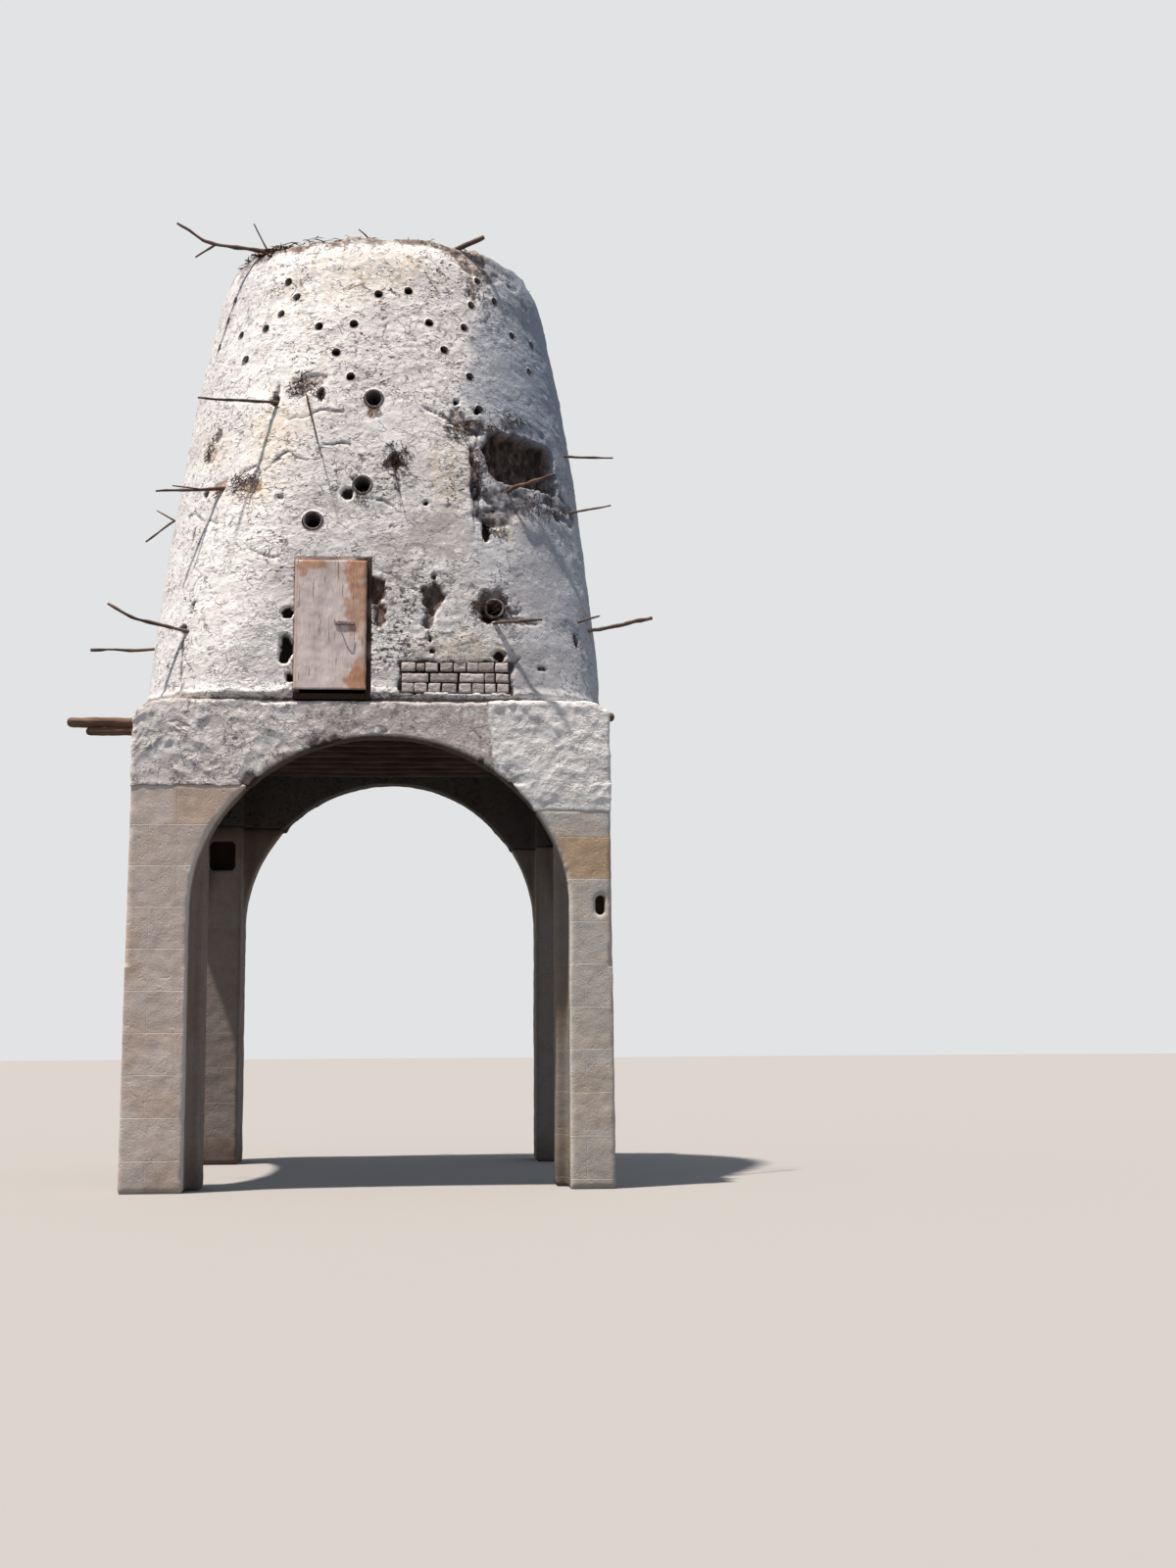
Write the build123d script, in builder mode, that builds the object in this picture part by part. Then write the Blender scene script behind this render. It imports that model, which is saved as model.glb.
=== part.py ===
from build123d import *
from math import atan, degrees, sqrt
import os

os.makedirs("parts", exist_ok=True)

# Pigeon tower on an arched base, from ground level up. Millimetres, +Z up.
# The front, with the hatch, faces -Y. The origin is at the middle of the footprint.

# Base block
base_width = 4950
base_height = 4980
base_inset = 40
arch_wall = 380
pier_depth = 745
left_pier_width = 760
right_pier_width = 580
left_stone_top = 4100
right_stone_top = 3850

# Arches: a wide ellipse at the front, round ones on the other three sides
front_half_span = 1930
front_rise = 1780
front_spring = 2820
rear_spring = 2870
side_spring = 2860

# Niche in the rear left pier and slot in the front right one
niche_size = 350
niche_depth = 250
niche_sill = 3550
niche_inset = 85
slot_width = 85
slot_height = 200
slot_depth = 150
slot_sill = 2760
slot_middle = 2332

# Loft floor and the logs that run out through the walls
beam_radius = 80
beam_height = 4760
beam_count = 8
beam_spacing = 440
beam_bearing = 220
board_thickness = 40
high_log_radius = 50
high_log_height = 4790
high_log_reach = 3170
low_log_radius = 38
low_log_height = 4695
low_log_reach = 2975
log_line = -1985
log_bearing = 180
log_end_radius = 55
log_end_height = 4885
log_end_reach = 2530

# Tower shell: height, half width and corner radius of each outline from foot to rim
outlines = [
    (base_height, 2425, 1000),
    (5600, 2397, 1180),
    (6400, 2345, 1430),
    (7200, 2270, 1650),
    (8000, 2185, 1830),
    (8800, 2085, 1960),
    (9500, 1952, 1920),
    (10080, 1805, 1780),
    (10200, 1745, 1720),
]
shell_wall = 400
shell_split = 7100
side_sector = 50

# Flight holes: x and height of those square to the front, angle and height of the others
hole_radius = 47
square_holes = [(5, 9507), (325, 9570), (-255, 9146), (-440, 8812), (-279, 8523), (552, 9203)]
left_holes = [(-31, 9742), (-27, 9538), (-32, 9360), (-18, 9139), (-37, 9213), (-43, 8883)]
right_holes = [(27.3, 9207), (20, 8894), (27.3, 8614), (31, 9509), (35, 9843), (41, 9640)]
flank_holes = [(-58, 9755), (-60, 9527), (-48, 9223), (-62.5, 9227), (52, 8896), (58, 9291)]
stray_holes = [(47, 9286), (29, 8234)]

# Clay entry pots: x, height and distance of the lip in front of the tower's axis
pot_radius = 105
pot_mouth = 80
pot_throat = 62
pot_lip = 30
pot_length = 430
pots = [(-32, 8276, 2160), (-139, 7300, 2275), (-651, 6895, 2318), (1247, 5963, 2385)]

# Fallen patch of wall at the right
recess_angle = 42
recess_width = 1040
recess_height = 600
recess_round = 240
recess_middle = 7700
recess_floor = 2180

# Hatch, leaning back with the wall
hatch_middle = -425
hatch_width = 800
hatch_top = 6490
frame_bar = 62
frame_depth = 150
frame_proud = 10
leaf_width = 742
leaf_height = 1376
leaf_lift = 98
leaf_shift = -22
leaf_thickness = 28
latch_width = 200
latch_height = 45
latch_thickness = 12
latch_lift = 800
latch_shift = 125

# Roof set down inside the rim
roof_top = 10020
roof_mud = 110
roof_log_radius = 50
roof_log_count = 6
roof_log_spacing = 420
roof_log_bearing = 160

# Sticks: points from the buried end to the tip, then the radius
left_sticks = [
    ([(-800, -1900, 8270), (-1034, -1993, 8259), (-1855, -2350, 8182)], 18),
    ([(-1440, -1842, 7366), (-1866, -1920, 7318), (-2318, -2000, 7267)], 16),
    ([(-2060, -600, 7380), (-2311, -600, 7317), (-2618, -600, 7064)], 14),
    ([(-1760, -2090, 5700), (-2000, -2120, 5748), (-2486, -2200, 5851), (-2755, -2200, 6007)], 24),
    ([(-2150, -1200, 5726), (-3091, -1200, 5704)], 20),
]
left_forks = [
    ([(-1866, -1920, 7318), (-2139, -2050, 7314)], 11),
    ([(-2311, -600, 7317), (-2503, -600, 7427)], 12),
]
right_sticks = [
    ([(1880, -1020, 8030), (2263, -950, 8025), (2642, -900, 8042)], 16),
    ([(1930, -1300, 7230), (2370, -1140, 7371), (2592, -1100, 7434)], 18),
    ([(1980, -1780, 5790), (2427, -1500, 5924), (3060, -900, 6190)], 26),
    ([(1960, -1900, 5890), (2130, -1850, 5925), (2419, -1600, 6060)], 17),
    ([(1180, -2150, 5780), (1250, -2400, 5795), (1733, -2600, 5804)], 22),
    ([(1330, -1960, 7260), (1470, -2120, 7350), (1918, -1750, 7594)], 24),
]
rear_sticks = [
    ([(-500, 1900, 8200), (-620, 2480, 8240)], 18),
    ([(700, 2000, 7300), (780, 2590, 7330)], 20),
    ([(-900, 2050, 6450), (-980, 2600, 6470)], 22),
    ([(1500, 1900, 5800), (1800, 2560, 5850)], 24),
]
rim_branch_line = [
    (-1000, -1230, 10150),
    (-1160, -1200, 10240),
    (-1515, -1150, 10314),
    (-1832, -1100, 10381),
    (-1990, -1100, 10420),
    (-2278, -1100, 10611),
]
rim_branch_radius = 25
rim_branch_fork = ([(-1832, -1100, 10381), (-2068, -1100, 10216)], 13)
rim_sticks = [
    ([(-1150, -1240, 10080), (-1233, -1240, 10217), (-1413, -1200, 10582)], 12),
    ([(-60, -1600, 10110), (-134, -1660, 10278), (-226, -1700, 10343)], 10),
    ([(520, -1400, 10080), (1156, -1500, 10375)], 32),
]
fit = 0.3

# Sizes that follow from the ones above
half_base = base_width / 2
inner_half = half_base - arch_wall
left_line = left_pier_width - half_base
right_line = half_base - right_pier_width
side_line = half_base - pier_depth
arch_middle = (left_line + right_line) / 2
rear_half_span = (right_line - left_line) / 2
wall_overrun = 100
rim_height = outlines[-1][0]
shell_half = outlines[0][1]
hatch_rise = hatch_top - base_height
hatch_lean = degrees(atan((outlines[0][1] - outlines[2][1]) / (outlines[2][0] - base_height)))


def facing(angle, distance, height):
    out = Vector(0, -1, 0).rotate(Axis.Z, angle)
    across = Vector(1, 0, 0).rotate(Axis.Z, angle)
    return Plane(origin=out * distance + Vector(0, 0, height), x_dir=across, z_dir=out)


def arch_void(plane, middle, half_span, spring, rise):
    with BuildPart() as void:
        with BuildSketch(plane):
            with Locations((middle, spring)):
                Ellipse(half_span, rise)
            with Locations((middle, spring / 2)):
                Rectangle(2 * half_span, spring)
        extrude(amount=arch_wall + wall_overrun)
    return void.part


def stick(points, radius):
    with BuildPart() as made:
        for start, end in zip(points, points[1:]):
            run = Vector(*end) - Vector(*start)
            with BuildSketch(Plane(origin=start, z_dir=run)):
                Circle(radius)
            extrude(amount=run.length)
        for joint in points[1:-1]:
            with Locations(joint):
                Sphere(radius)
    return made.part


def sticks_in(group, slack):
    return [stick(points, radius + slack) for points, radius in group]


def base_block(plan, low, high, cuts):
    # The battered block of the whole base, kept inside the plan and between two heights
    with BuildPart() as block:
        with BuildSketch():
            Rectangle(base_width, base_width)
        extrude(amount=base_height, taper=degrees(atan(base_inset / base_height)))
        with BuildSketch(Plane.XY.offset(low)):
            for x_low, x_high, y_low, y_high in plan:
                with Locations(((x_low + x_high) / 2, (y_low + y_high) / 2)):
                    Rectangle(x_high - x_low, y_high - y_low)
        extrude(amount=high - low, mode=Mode.INTERSECT)
        for cut in cuts:
            add(cut, mode=Mode.SUBTRACT)
    return block


# Arch openings
front_void = arch_void(
    Plane.XZ.offset(inner_half), arch_middle, front_half_span, front_spring, front_rise
)
rear_void = arch_void(
    Plane.XZ.offset(-half_base - wall_overrun),
    arch_middle,
    rear_half_span,
    rear_spring,
    rear_half_span,
)
left_void = arch_void(
    Plane.YZ.offset(-half_base - wall_overrun), 0, side_line, side_spring, side_line
)
right_void = arch_void(Plane.YZ.offset(inner_half), 0, side_line, side_spring, side_line)
voids = [front_void, rear_void, left_void, right_void]

# Niche and slot
with BuildPart() as niche:
    with BuildSketch(Plane.XZ.offset(-side_line)):
        with Locations((left_line - niche_inset - niche_size / 2, niche_sill + niche_size / 2)):
            Rectangle(niche_size, niche_size)
    extrude(amount=-niche_depth)
with BuildPart() as slot:
    with BuildSketch(Plane.XZ.offset(half_base)):
        with Locations((slot_middle, slot_sill + slot_height / 2)):
            Rectangle(slot_width, slot_height)
    extrude(amount=-slot_depth)

# Logs through the walls
with BuildPart() as high_log:
    with BuildSketch(Plane.YZ.offset(-high_log_reach)):
        with Locations((log_line, high_log_height)):
            Circle(high_log_radius)
    extrude(amount=high_log_reach + right_line + log_bearing)
with BuildPart() as low_log:
    with BuildSketch(Plane.YZ.offset(-low_log_reach)):
        with Locations((log_line, low_log_height)):
            Circle(low_log_radius)
    extrude(amount=low_log_reach + right_line + log_bearing)
with BuildPart() as log_end:
    with BuildSketch(Plane.YZ.offset(inner_half)):
        with Locations((log_line, log_end_height)):
            Circle(log_end_radius)
    extrude(amount=log_end_reach - inner_half)
with BuildPart() as ceiling_beams:
    with BuildSketch(Plane.YZ.offset(-inner_half - beam_bearing)):
        with Locations((0, beam_height)):
            with GridLocations(beam_spacing, 0, beam_count, 1):
                Circle(beam_radius)
    extrude(amount=2 * (inner_half + beam_bearing))

# Corner piers of stone, with the haunches of the arches, and the plastered corners above
through_logs = [high_log.part, low_log.part, log_end.part]
corners = [
    ("front_left", -half_base, left_line, -half_base, -side_line, left_stone_top),
    ("front_right", right_line, half_base, -half_base, -side_line, right_stone_top),
    ("back_left", -half_base, left_line, side_line, half_base, left_stone_top),
    ("back_right", right_line, half_base, side_line, half_base, right_stone_top),
]
piers = []
upper_corners = []
for name, x_low, x_high, y_low, y_high, stone_top in corners:
    front = y_low < 0
    left = x_low < 0
    wall_y = (-half_base, -inner_half) if front else (inner_half, half_base)
    wall_x = (-half_base, -inner_half) if left else (inner_half, half_base)
    haunch_x = (x_low, arch_middle) if left else (arch_middle, x_high)
    haunch_y = (y_low, 0) if front else (0, y_high)
    plan = [
        (x_low, x_high, y_low, y_high),
        (haunch_x[0], haunch_x[1], wall_y[0], wall_y[1]),
        (wall_x[0], wall_x[1], haunch_y[0], haunch_y[1]),
    ]
    pier = base_block(plan, 0, stone_top, voids + [niche.part, slot.part])
    pier.part.label = name + "_pier"
    piers.append(pier.part)
    corner = base_block(plan[:1], stone_top, base_height, through_logs)
    corner.part.label = name + "_corner"
    upper_corners.append(corner.part)

# Walls over the arches
walls = [
    ("front_arch_wall", left_line, right_line, -half_base, -inner_half),
    ("back_arch_wall", left_line, right_line, inner_half, half_base),
    ("left_arch_wall", -half_base, -inner_half, -side_line, side_line),
    ("right_arch_wall", inner_half, half_base, -side_line, side_line),
]
arch_walls = []
for name, x_low, x_high, y_low, y_high in walls:
    cuts = voids + piers + [ceiling_beams.part]
    wall = base_block([(x_low, x_high, y_low, y_high)], right_stone_top, base_height, cuts)
    wall.part.label = name
    arch_walls.append(wall.part)

# Loft floor of boards and rammed mud
board_base = beam_height + beam_radius
with BuildPart() as floor_boards:
    with BuildSketch(Plane.XY.offset(board_base)):
        Rectangle(2 * inner_half, 2 * inner_half)
    extrude(amount=board_thickness)
    for corner in upper_corners:
        add(corner, mode=Mode.SUBTRACT)
with BuildPart() as mud_floor:
    with BuildSketch(Plane.XY.offset(board_base + board_thickness)):
        Rectangle(2 * inner_half, 2 * inner_half)
    extrude(amount=base_height - board_base - board_thickness)
    for corner in upper_corners:
        add(corner, mode=Mode.SUBTRACT)

# Hatch frame, leaf and latch
hatch_plane = Plane(
    origin=(hatch_middle, -shell_half, base_height), x_dir=(1, 0, 0), z_dir=(0, -1, 0)
).rotated((-hatch_lean, 0, 0))
with BuildPart() as hatch_hole:
    with BuildSketch(hatch_plane.offset(-2 * shell_wall)):
        Rectangle(hatch_width, 2 * hatch_rise)
    extrude(amount=3 * shell_wall)
with BuildPart() as hatch_frame:
    with BuildSketch(hatch_plane.offset(frame_proud)):
        with Locations((0, hatch_rise / 2)):
            Rectangle(hatch_width, hatch_rise)
            Rectangle(
                hatch_width - 2 * frame_bar, hatch_rise - 2 * frame_bar, mode=Mode.SUBTRACT
            )
    extrude(amount=-frame_depth)
    split(bisect_by=Plane.XY.offset(base_height), keep=Keep.TOP)
with BuildPart() as hatch_leaf:
    with BuildSketch(hatch_plane.offset(frame_proud)):
        with Locations((leaf_shift, leaf_lift + leaf_height / 2)):
            Rectangle(leaf_width, leaf_height)
    extrude(amount=leaf_thickness)
with BuildPart() as hatch_latch:
    with BuildSketch(hatch_plane.offset(frame_proud + leaf_thickness)):
        with Locations((latch_shift, latch_lift)):
            SlotOverall(latch_width, latch_height)
    extrude(amount=latch_thickness)

# Entry pots and flight holes, made for the front and turned half round for the back
with BuildPart() as pot_set:
    for x, height, lip in pots:
        with BuildSketch(Plane.XZ.offset(lip)):
            with Locations((x, height)):
                Circle(pot_radius)
        extrude(amount=-pot_length)
    for x, height, lip in pots:
        with BuildSketch(Plane.XZ.offset(lip)):
            with Locations((x, height)):
                Circle(pot_mouth)
        with BuildSketch(Plane.XZ.offset(lip - pot_length)):
            with Locations((x, height)):
                Circle(pot_throat)
        loft(mode=Mode.SUBTRACT)
with BuildPart() as pot_seats:
    for x, height, lip in pots:
        with BuildSketch(Plane.XZ.offset(lip + pot_lip)):
            with Locations((x, height)):
                Circle(pot_radius + fit)
        extrude(amount=-2 * shell_wall)
with BuildPart() as flight_holes:
    for x, height in square_holes:
        with BuildSketch(Plane.XZ.offset(shell_wall)):
            with Locations((x, height)):
                Circle(hole_radius)
        extrude(amount=shell_half)
    for angle, height in left_holes + right_holes + flank_holes + stray_holes:
        with BuildSketch(facing(angle, 2 * shell_wall, height)):
            Circle(hole_radius)
        extrude(amount=shell_half)
half_turn = Rot(0, 0, 180)
with BuildPart() as entry_pots:
    add(pot_set.part)
    add(half_turn * pot_set.part)

# Tower shell
with BuildPart() as tower_core:
    for height, half, corner in outlines:
        with BuildSketch(Plane.XY.offset(height)):
            inner = 2 * (half - shell_wall)
            RectangleRounded(inner, inner, corner - shell_wall)
    loft()
with BuildPart() as recess:
    with BuildSketch(facing(recess_angle, recess_floor, recess_middle)):
        RectangleRounded(recess_width, recess_height, recess_round)
    extrude(amount=2 * shell_wall)

# Roof of logs and mud inside the rim
roof_log_height = roof_top - roof_mud - roof_log_radius
roof_half = outlines[-2][1] - shell_wall
with BuildPart() as roof_logs:
    for place in range(roof_log_count):
        y = (place - (roof_log_count - 1) / 2) * roof_log_spacing
        reach = sqrt(roof_half**2 - y**2) + roof_log_bearing
        with BuildSketch(Plane.YZ.offset(-reach)):
            with Locations((y, roof_log_height)):
                Circle(roof_log_radius)
        extrude(amount=2 * reach)
with BuildPart() as mud_roof:
    add(tower_core.part)
    with BuildSketch(Plane.XY.offset(roof_top - roof_mud)):
        Circle(shell_half)
    extrude(amount=roof_mud, mode=Mode.INTERSECT)

# Sticks
with BuildPart() as left_perches:
    for piece in sticks_in(left_sticks + left_forks, 0):
        add(piece)
with BuildPart() as right_perches:
    for piece in sticks_in(right_sticks, 0):
        add(piece)
with BuildPart() as rear_perches:
    for piece in sticks_in(rear_sticks, 0):
        add(piece)
with BuildPart() as rim_branch:
    add(stick(rim_branch_line, rim_branch_radius))
    add(stick(*rim_branch_fork))
with BuildPart() as rim_twigs:
    for piece in sticks_in(rim_sticks, 0):
        add(piece)

with BuildPart() as tower_shell:
    for height, half, corner in outlines:
        with BuildSketch(Plane.XY.offset(height)):
            RectangleRounded(2 * half, 2 * half, corner)
    loft()
    add(tower_core.part, mode=Mode.SUBTRACT)
    add(recess.part, mode=Mode.SUBTRACT)
    add(hatch_hole.part, mode=Mode.SUBTRACT)
    for cutter in (pot_seats.part, flight_holes.part):
        add(cutter, mode=Mode.SUBTRACT)
        add(half_turn * cutter, mode=Mode.SUBTRACT)
    add(roof_logs.part, mode=Mode.SUBTRACT)
    for piece in sticks_in(left_sticks + right_sticks + rear_sticks + rim_sticks, fit):
        add(piece, mode=Mode.SUBTRACT)
    add(stick(rim_branch_line, rim_branch_radius + fit), mode=Mode.SUBTRACT)

# Eight upright segments in two lifts, the corner ones a little narrower than the sides
corner_sector = 90 - side_sector
sectors = [
    ("front", 0, side_sector),
    ("front_right", 45, corner_sector),
    ("right", 90, side_sector),
    ("back_right", 135, corner_sector),
    ("back", 180, side_sector),
    ("back_left", 225, corner_sector),
    ("left", 270, side_sector),
    ("front_left", 315, corner_sector),
]
lifts = [("lower", base_height, shell_split), ("upper", shell_split, rim_height)]
segments = []
for side, angle, spread in sectors:
    for lift, low, high in lifts:
        with BuildPart() as segment:
            add(tower_shell.part)
            with BuildSketch(Plane.XY.offset(low)):
                with BuildLine():
                    first = facing(angle - spread / 2, 2 * shell_half, 0).origin
                    last = facing(angle + spread / 2, 2 * shell_half, 0).origin
                    Polyline((0, 0), (first.X, first.Y), (last.X, last.Y), close=True)
                make_face()
            extrude(amount=high - low, mode=Mode.INTERSECT)
        segment.part.label = "tower_" + side + "_" + lift
        segments.append(segment.part)

ceiling_beams.part.label = "ceiling_beams"
high_log.part.label = "high_log"
low_log.part.label = "low_log"
log_end.part.label = "log_end"
floor_boards.part.label = "floor_boards"
mud_floor.part.label = "mud_floor"
hatch_frame.part.label = "hatch_frame"
hatch_leaf.part.label = "hatch_leaf"
hatch_latch.part.label = "hatch_latch"
entry_pots.part.label = "entry_pots"
roof_logs.part.label = "roof_logs"
mud_roof.part.label = "mud_roof"
left_perches.part.label = "left_perches"
right_perches.part.label = "right_perches"
rear_perches.part.label = "rear_perches"
rim_branch.part.label = "rim_branch"
rim_twigs.part.label = "rim_twigs"

loose = [ceiling_beams, high_log, low_log, log_end, floor_boards, mud_floor, hatch_frame]
loose += [hatch_leaf, hatch_latch, entry_pots, roof_logs, mud_roof, left_perches]
loose += [right_perches, rear_perches, rim_branch, rim_twigs]
pieces = piers + upper_corners + arch_walls + segments + [made.part for made in loose]
for piece in pieces:
    export_step(piece, "parts/" + piece.label + ".step")
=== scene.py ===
import math

import bpy
import numpy as np
from mathutils import Matrix, Vector


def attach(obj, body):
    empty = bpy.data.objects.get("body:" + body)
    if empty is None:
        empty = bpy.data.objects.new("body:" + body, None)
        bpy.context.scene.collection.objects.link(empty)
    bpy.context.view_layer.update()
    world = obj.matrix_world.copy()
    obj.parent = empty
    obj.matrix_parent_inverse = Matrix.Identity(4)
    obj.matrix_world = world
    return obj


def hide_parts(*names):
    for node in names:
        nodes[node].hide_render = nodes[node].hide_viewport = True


# Pigeon tower on an arched base. Metres, +Z up, the front with the hatch faces -Y.
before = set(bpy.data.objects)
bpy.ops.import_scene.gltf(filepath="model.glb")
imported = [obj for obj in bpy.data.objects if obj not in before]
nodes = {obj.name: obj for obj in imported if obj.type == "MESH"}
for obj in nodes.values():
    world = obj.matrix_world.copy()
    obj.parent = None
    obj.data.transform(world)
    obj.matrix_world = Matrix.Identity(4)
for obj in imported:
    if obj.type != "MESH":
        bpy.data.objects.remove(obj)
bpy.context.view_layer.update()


# Small helpers

def linear(code):
    # sRGB hex to the linear colour that a socket takes
    parts = [int(code[place:place + 2], 16) / 255 for place in (1, 3, 5)]
    return [p / 12.92 if p <= 0.04045 else ((p + 0.055) / 1.055) ** 2.4 for p in parts] + [1]


def addNode(tree, kind, inputs=(), output=0, **settings):
    # inputs are sockets or plain values, in the node's own order or by name
    node = tree.nodes.new("ShaderNode" + kind)
    for name, value in settings.items():
        setattr(node, name, value)
    for name, source in inputs.items() if isinstance(inputs, dict) else enumerate(inputs):
        if hasattr(source, "links"):
            tree.links.new(source, node.inputs[name])
        else:
            node.inputs[name].default_value = source
    return node.outputs[output]


def addObject(name, data):
    thing = bpy.data.objects.new(name, data)
    bpy.context.scene.collection.objects.link(thing)
    return thing


def smoothStep(low, high, value):
    part = np.clip((value - low) / (high - low), 0, 1)
    return part * part * (3 - 2 * part)


def bumps(points, size, seed):
    # Smooth noise from -1 to 1 whose lumps are about size metres wide
    turn = np.array([[0.80, 0.36, -0.48], [-0.60, 0.48, -0.64], [0, 0.80, 0.60]])
    place = points @ turn.T / size + seed * 17.31
    low = np.floor(place).astype(np.int64)
    part = place - low
    part = part ** 3 * (part * (part * 6 - 15) + 10)
    total = np.zeros(len(points))
    for corner in range(8):
        step = np.array([corner & 1, corner >> 1 & 1, corner >> 2 & 1])
        cell = low + step
        mixed = cell[:, 0] * 374761393 + cell[:, 1] * 668265263 + cell[:, 2] * 1440662683
        mixed = (mixed ^ (mixed >> 13)) * 1274126177 & 0x7FFFFFFF
        mixed = (mixed ^ (mixed >> 15)) & 0xFFFF
        weight = np.prod(np.where(step == 1, part, 1 - part), axis=1)
        total += weight * mixed
    return total / 32767.5 - 1


def roughness(points, size, seed, octaves):
    # Lumps of that size with smaller ones on them
    total = np.zeros(len(points))
    for octave in range(octaves):
        total += bumps(points, size / 2 ** octave, seed + octave) / 2 ** octave
    return total


def makePiece(name, vertices, faces, material, slotName, replaced=(), attributes=None):
    mesh = bpy.data.meshes.new(name)
    mesh.from_pydata(np.asarray(vertices).tolist(), [], [list(face) for face in faces])
    mesh.validate()
    mesh.polygons.foreach_set("use_smooth", [True] * len(mesh.polygons))
    for label, values in (attributes or {}).items():
        layer = mesh.attributes.new(label, "FLOAT", "POINT")
        layer.data.foreach_set("value", np.asarray(values, np.float32))
    mesh.materials.append(material)
    piece = addObject(name, mesh)
    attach(piece, "root")
    if replaced:
        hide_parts(*replaced)
    print("made", name, len(mesh.polygons), "faces")


def joinParts(parts):
    vertices, faces, start = [], [], 0
    for partVertices, partFaces in parts:
        vertices.append(np.asarray(partVertices, float))
        faces += [[corner + start for corner in face] for face in partFaces]
        start += len(partVertices)
    return np.vstack(vertices), faces


def bandFaces(rings, sides, first=0):
    # Quads between closed rings of vertices, counted from the first vertex of the first ring
    faces = []
    for start in range(first, first + (rings - 1) * sides, sides):
        for side in range(sides):
            after = (side + 1) % sides
            faces.append([start + side, start + after, start + sides + after, start + sides + side])
    return faces


def gnarledTube(points, startRadius, endRadius, seed, sides, step, wobble):
    # A closed tube through the points, uneven in thickness and a little bent
    corners = np.array(points, float)
    runs = np.linalg.norm(np.diff(corners, axis=0), axis=1)
    along = np.concatenate([[0], np.cumsum(runs)])
    count = max(6, int(along[-1] / step))
    places = np.linspace(0, along[-1], count)
    line = np.stack([np.interp(places, along, corners[:, axis]) for axis in range(3)], 1)
    for _ in range(2):
        line[1:-1] = (line[:-2] + 2 * line[1:-1] + line[2:]) / 4
    radii = np.interp(places, [0, along[-1]], [startRadius, endRadius])
    bend = np.stack([bumps(line + 3.1 * axis, 0.35, seed + axis) for axis in range(3)], 1)
    ends = np.minimum(1, np.minimum(places, along[-1] - places) / 0.15)
    line = line + bend * (wobble * 2 * startRadius * ends)[:, None]
    ahead = np.gradient(line, axis=0)
    ahead /= np.linalg.norm(ahead, axis=1)[:, None]
    reference = np.array([0.21, 0.34, 0.92])
    if abs(ahead[0] @ reference) > 0.9:
        reference = np.array([0.92, 0.21, 0.34])
    across = np.cross(ahead, reference)
    across /= np.linalg.norm(across, axis=1)[:, None]
    up = np.cross(across, ahead)
    angles = np.linspace(0, 2 * math.pi, sides, endpoint=False)
    ring = np.cos(angles)[None, :, None] * across[:, None] + np.sin(angles)[None, :, None] * up[:, None]
    flat = (line[:, None] + ring * radii[:, None, None]).reshape(-1, 3)
    swell = 1 + wobble * roughness(flat, 0.09, seed + 5, 2) + 0.5 * wobble * roughness(flat, 0.3, seed, 1)
    vertices = line[:, None] + ring * radii[:, None, None] * swell.reshape(count, sides, 1)
    vertices = vertices.reshape(-1, 3).tolist()
    faces = bandFaces(count, sides)
    for row, sign in ((0, -1), (count - 1, 1)):
        middle = len(vertices)
        vertices.append((line[row] + sign * ahead[row] * radii[row] * 0.25).tolist())
        for side in range(sides):
            pair = [row * sides + side, row * sides + (side + 1) % sides]
            faces.append([pair[1], pair[0], middle] if sign < 0 else [pair[0], pair[1], middle])
    return vertices, faces


def roughBlock(middle, size, seed, wear, cell):
    # A closed block with a row of faces along each worn edge, and uneven faces
    size = np.array(size, float)
    rows = []
    for length in size:
        bevel = min(wear, length / 4)
        inner = np.linspace(bevel, length - bevel, max(2, round(length / cell) + 1))
        rows.append(np.concatenate([[0], inner, [length]]) - length / 2)
    vertices, faces, found = [], [], {}

    def corner(key):
        if key not in found:
            found[key] = len(vertices)
            vertices.append([rows[axis][key[axis]] for axis in range(3)])
        return found[key]

    for axis in range(3):
        one, two = (axis + 1) % 3, (axis + 2) % 3
        for level in (0, len(rows[axis]) - 1):
            for a in range(len(rows[one]) - 1):
                for b in range(len(rows[two]) - 1):
                    quad = []
                    for stepA, stepB in ((0, 0), (1, 0), (1, 1), (0, 1)):
                        key = [0, 0, 0]
                        key[axis], key[one], key[two] = level, a + stepA, b + stepB
                        quad.append(corner(tuple(key)))
                    faces.append(quad if level else quad[::-1])
    vertices = np.array(vertices)
    away = np.sort(size / 2 - np.abs(vertices), axis=1)
    onEdge = away[:, 1] < 1e-6
    atFace = size / 2 - np.abs(vertices) < 1e-6
    vertices -= np.sign(vertices) * atFace * onEdge[:, None] * 0.45 * wear
    moved = vertices + middle
    shake = np.stack([roughness(moved, 0.09, seed + 3 * axis, 3) for axis in range(3)], 1)
    return moved + shake * wear * 0.5, faces


# Materials

def startMaterial(name, codes, rough, specular, *labels):
    # labels are the values that makePiece stored on the vertices
    material = bpy.data.materials.new(name)
    material.use_nodes = True
    tree = material.node_tree
    shader = tree.nodes["Principled BSDF"]
    shader.inputs["Roughness"].default_value = rough
    shader.inputs["Specular IOR Level"].default_value = specular
    colours = {part: linear(code) for part, code in codes.items()}
    place = addNode(tree, "TexCoord", output="Object")
    stored = [addNode(tree, "Attribute", output="Fac", attribute_name=label) for label in labels]
    return material, tree, shader, colours, place, stored


def spreadNoise(tree, place, size, stretch, detail, rough, distortion=0):
    # Noise whose features are about size metres wide, longer where stretch is over 1
    scale = [1 / (size * part) for part in stretch]
    scaled = addNode(tree, "Mapping", {"Vector": place, "Scale": scale})
    return addNode(tree, "TexNoise", {"Vector": scaled, "Scale": 1, "Detail": detail, "Roughness": rough,
                                      "Distortion": distortion})


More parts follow.
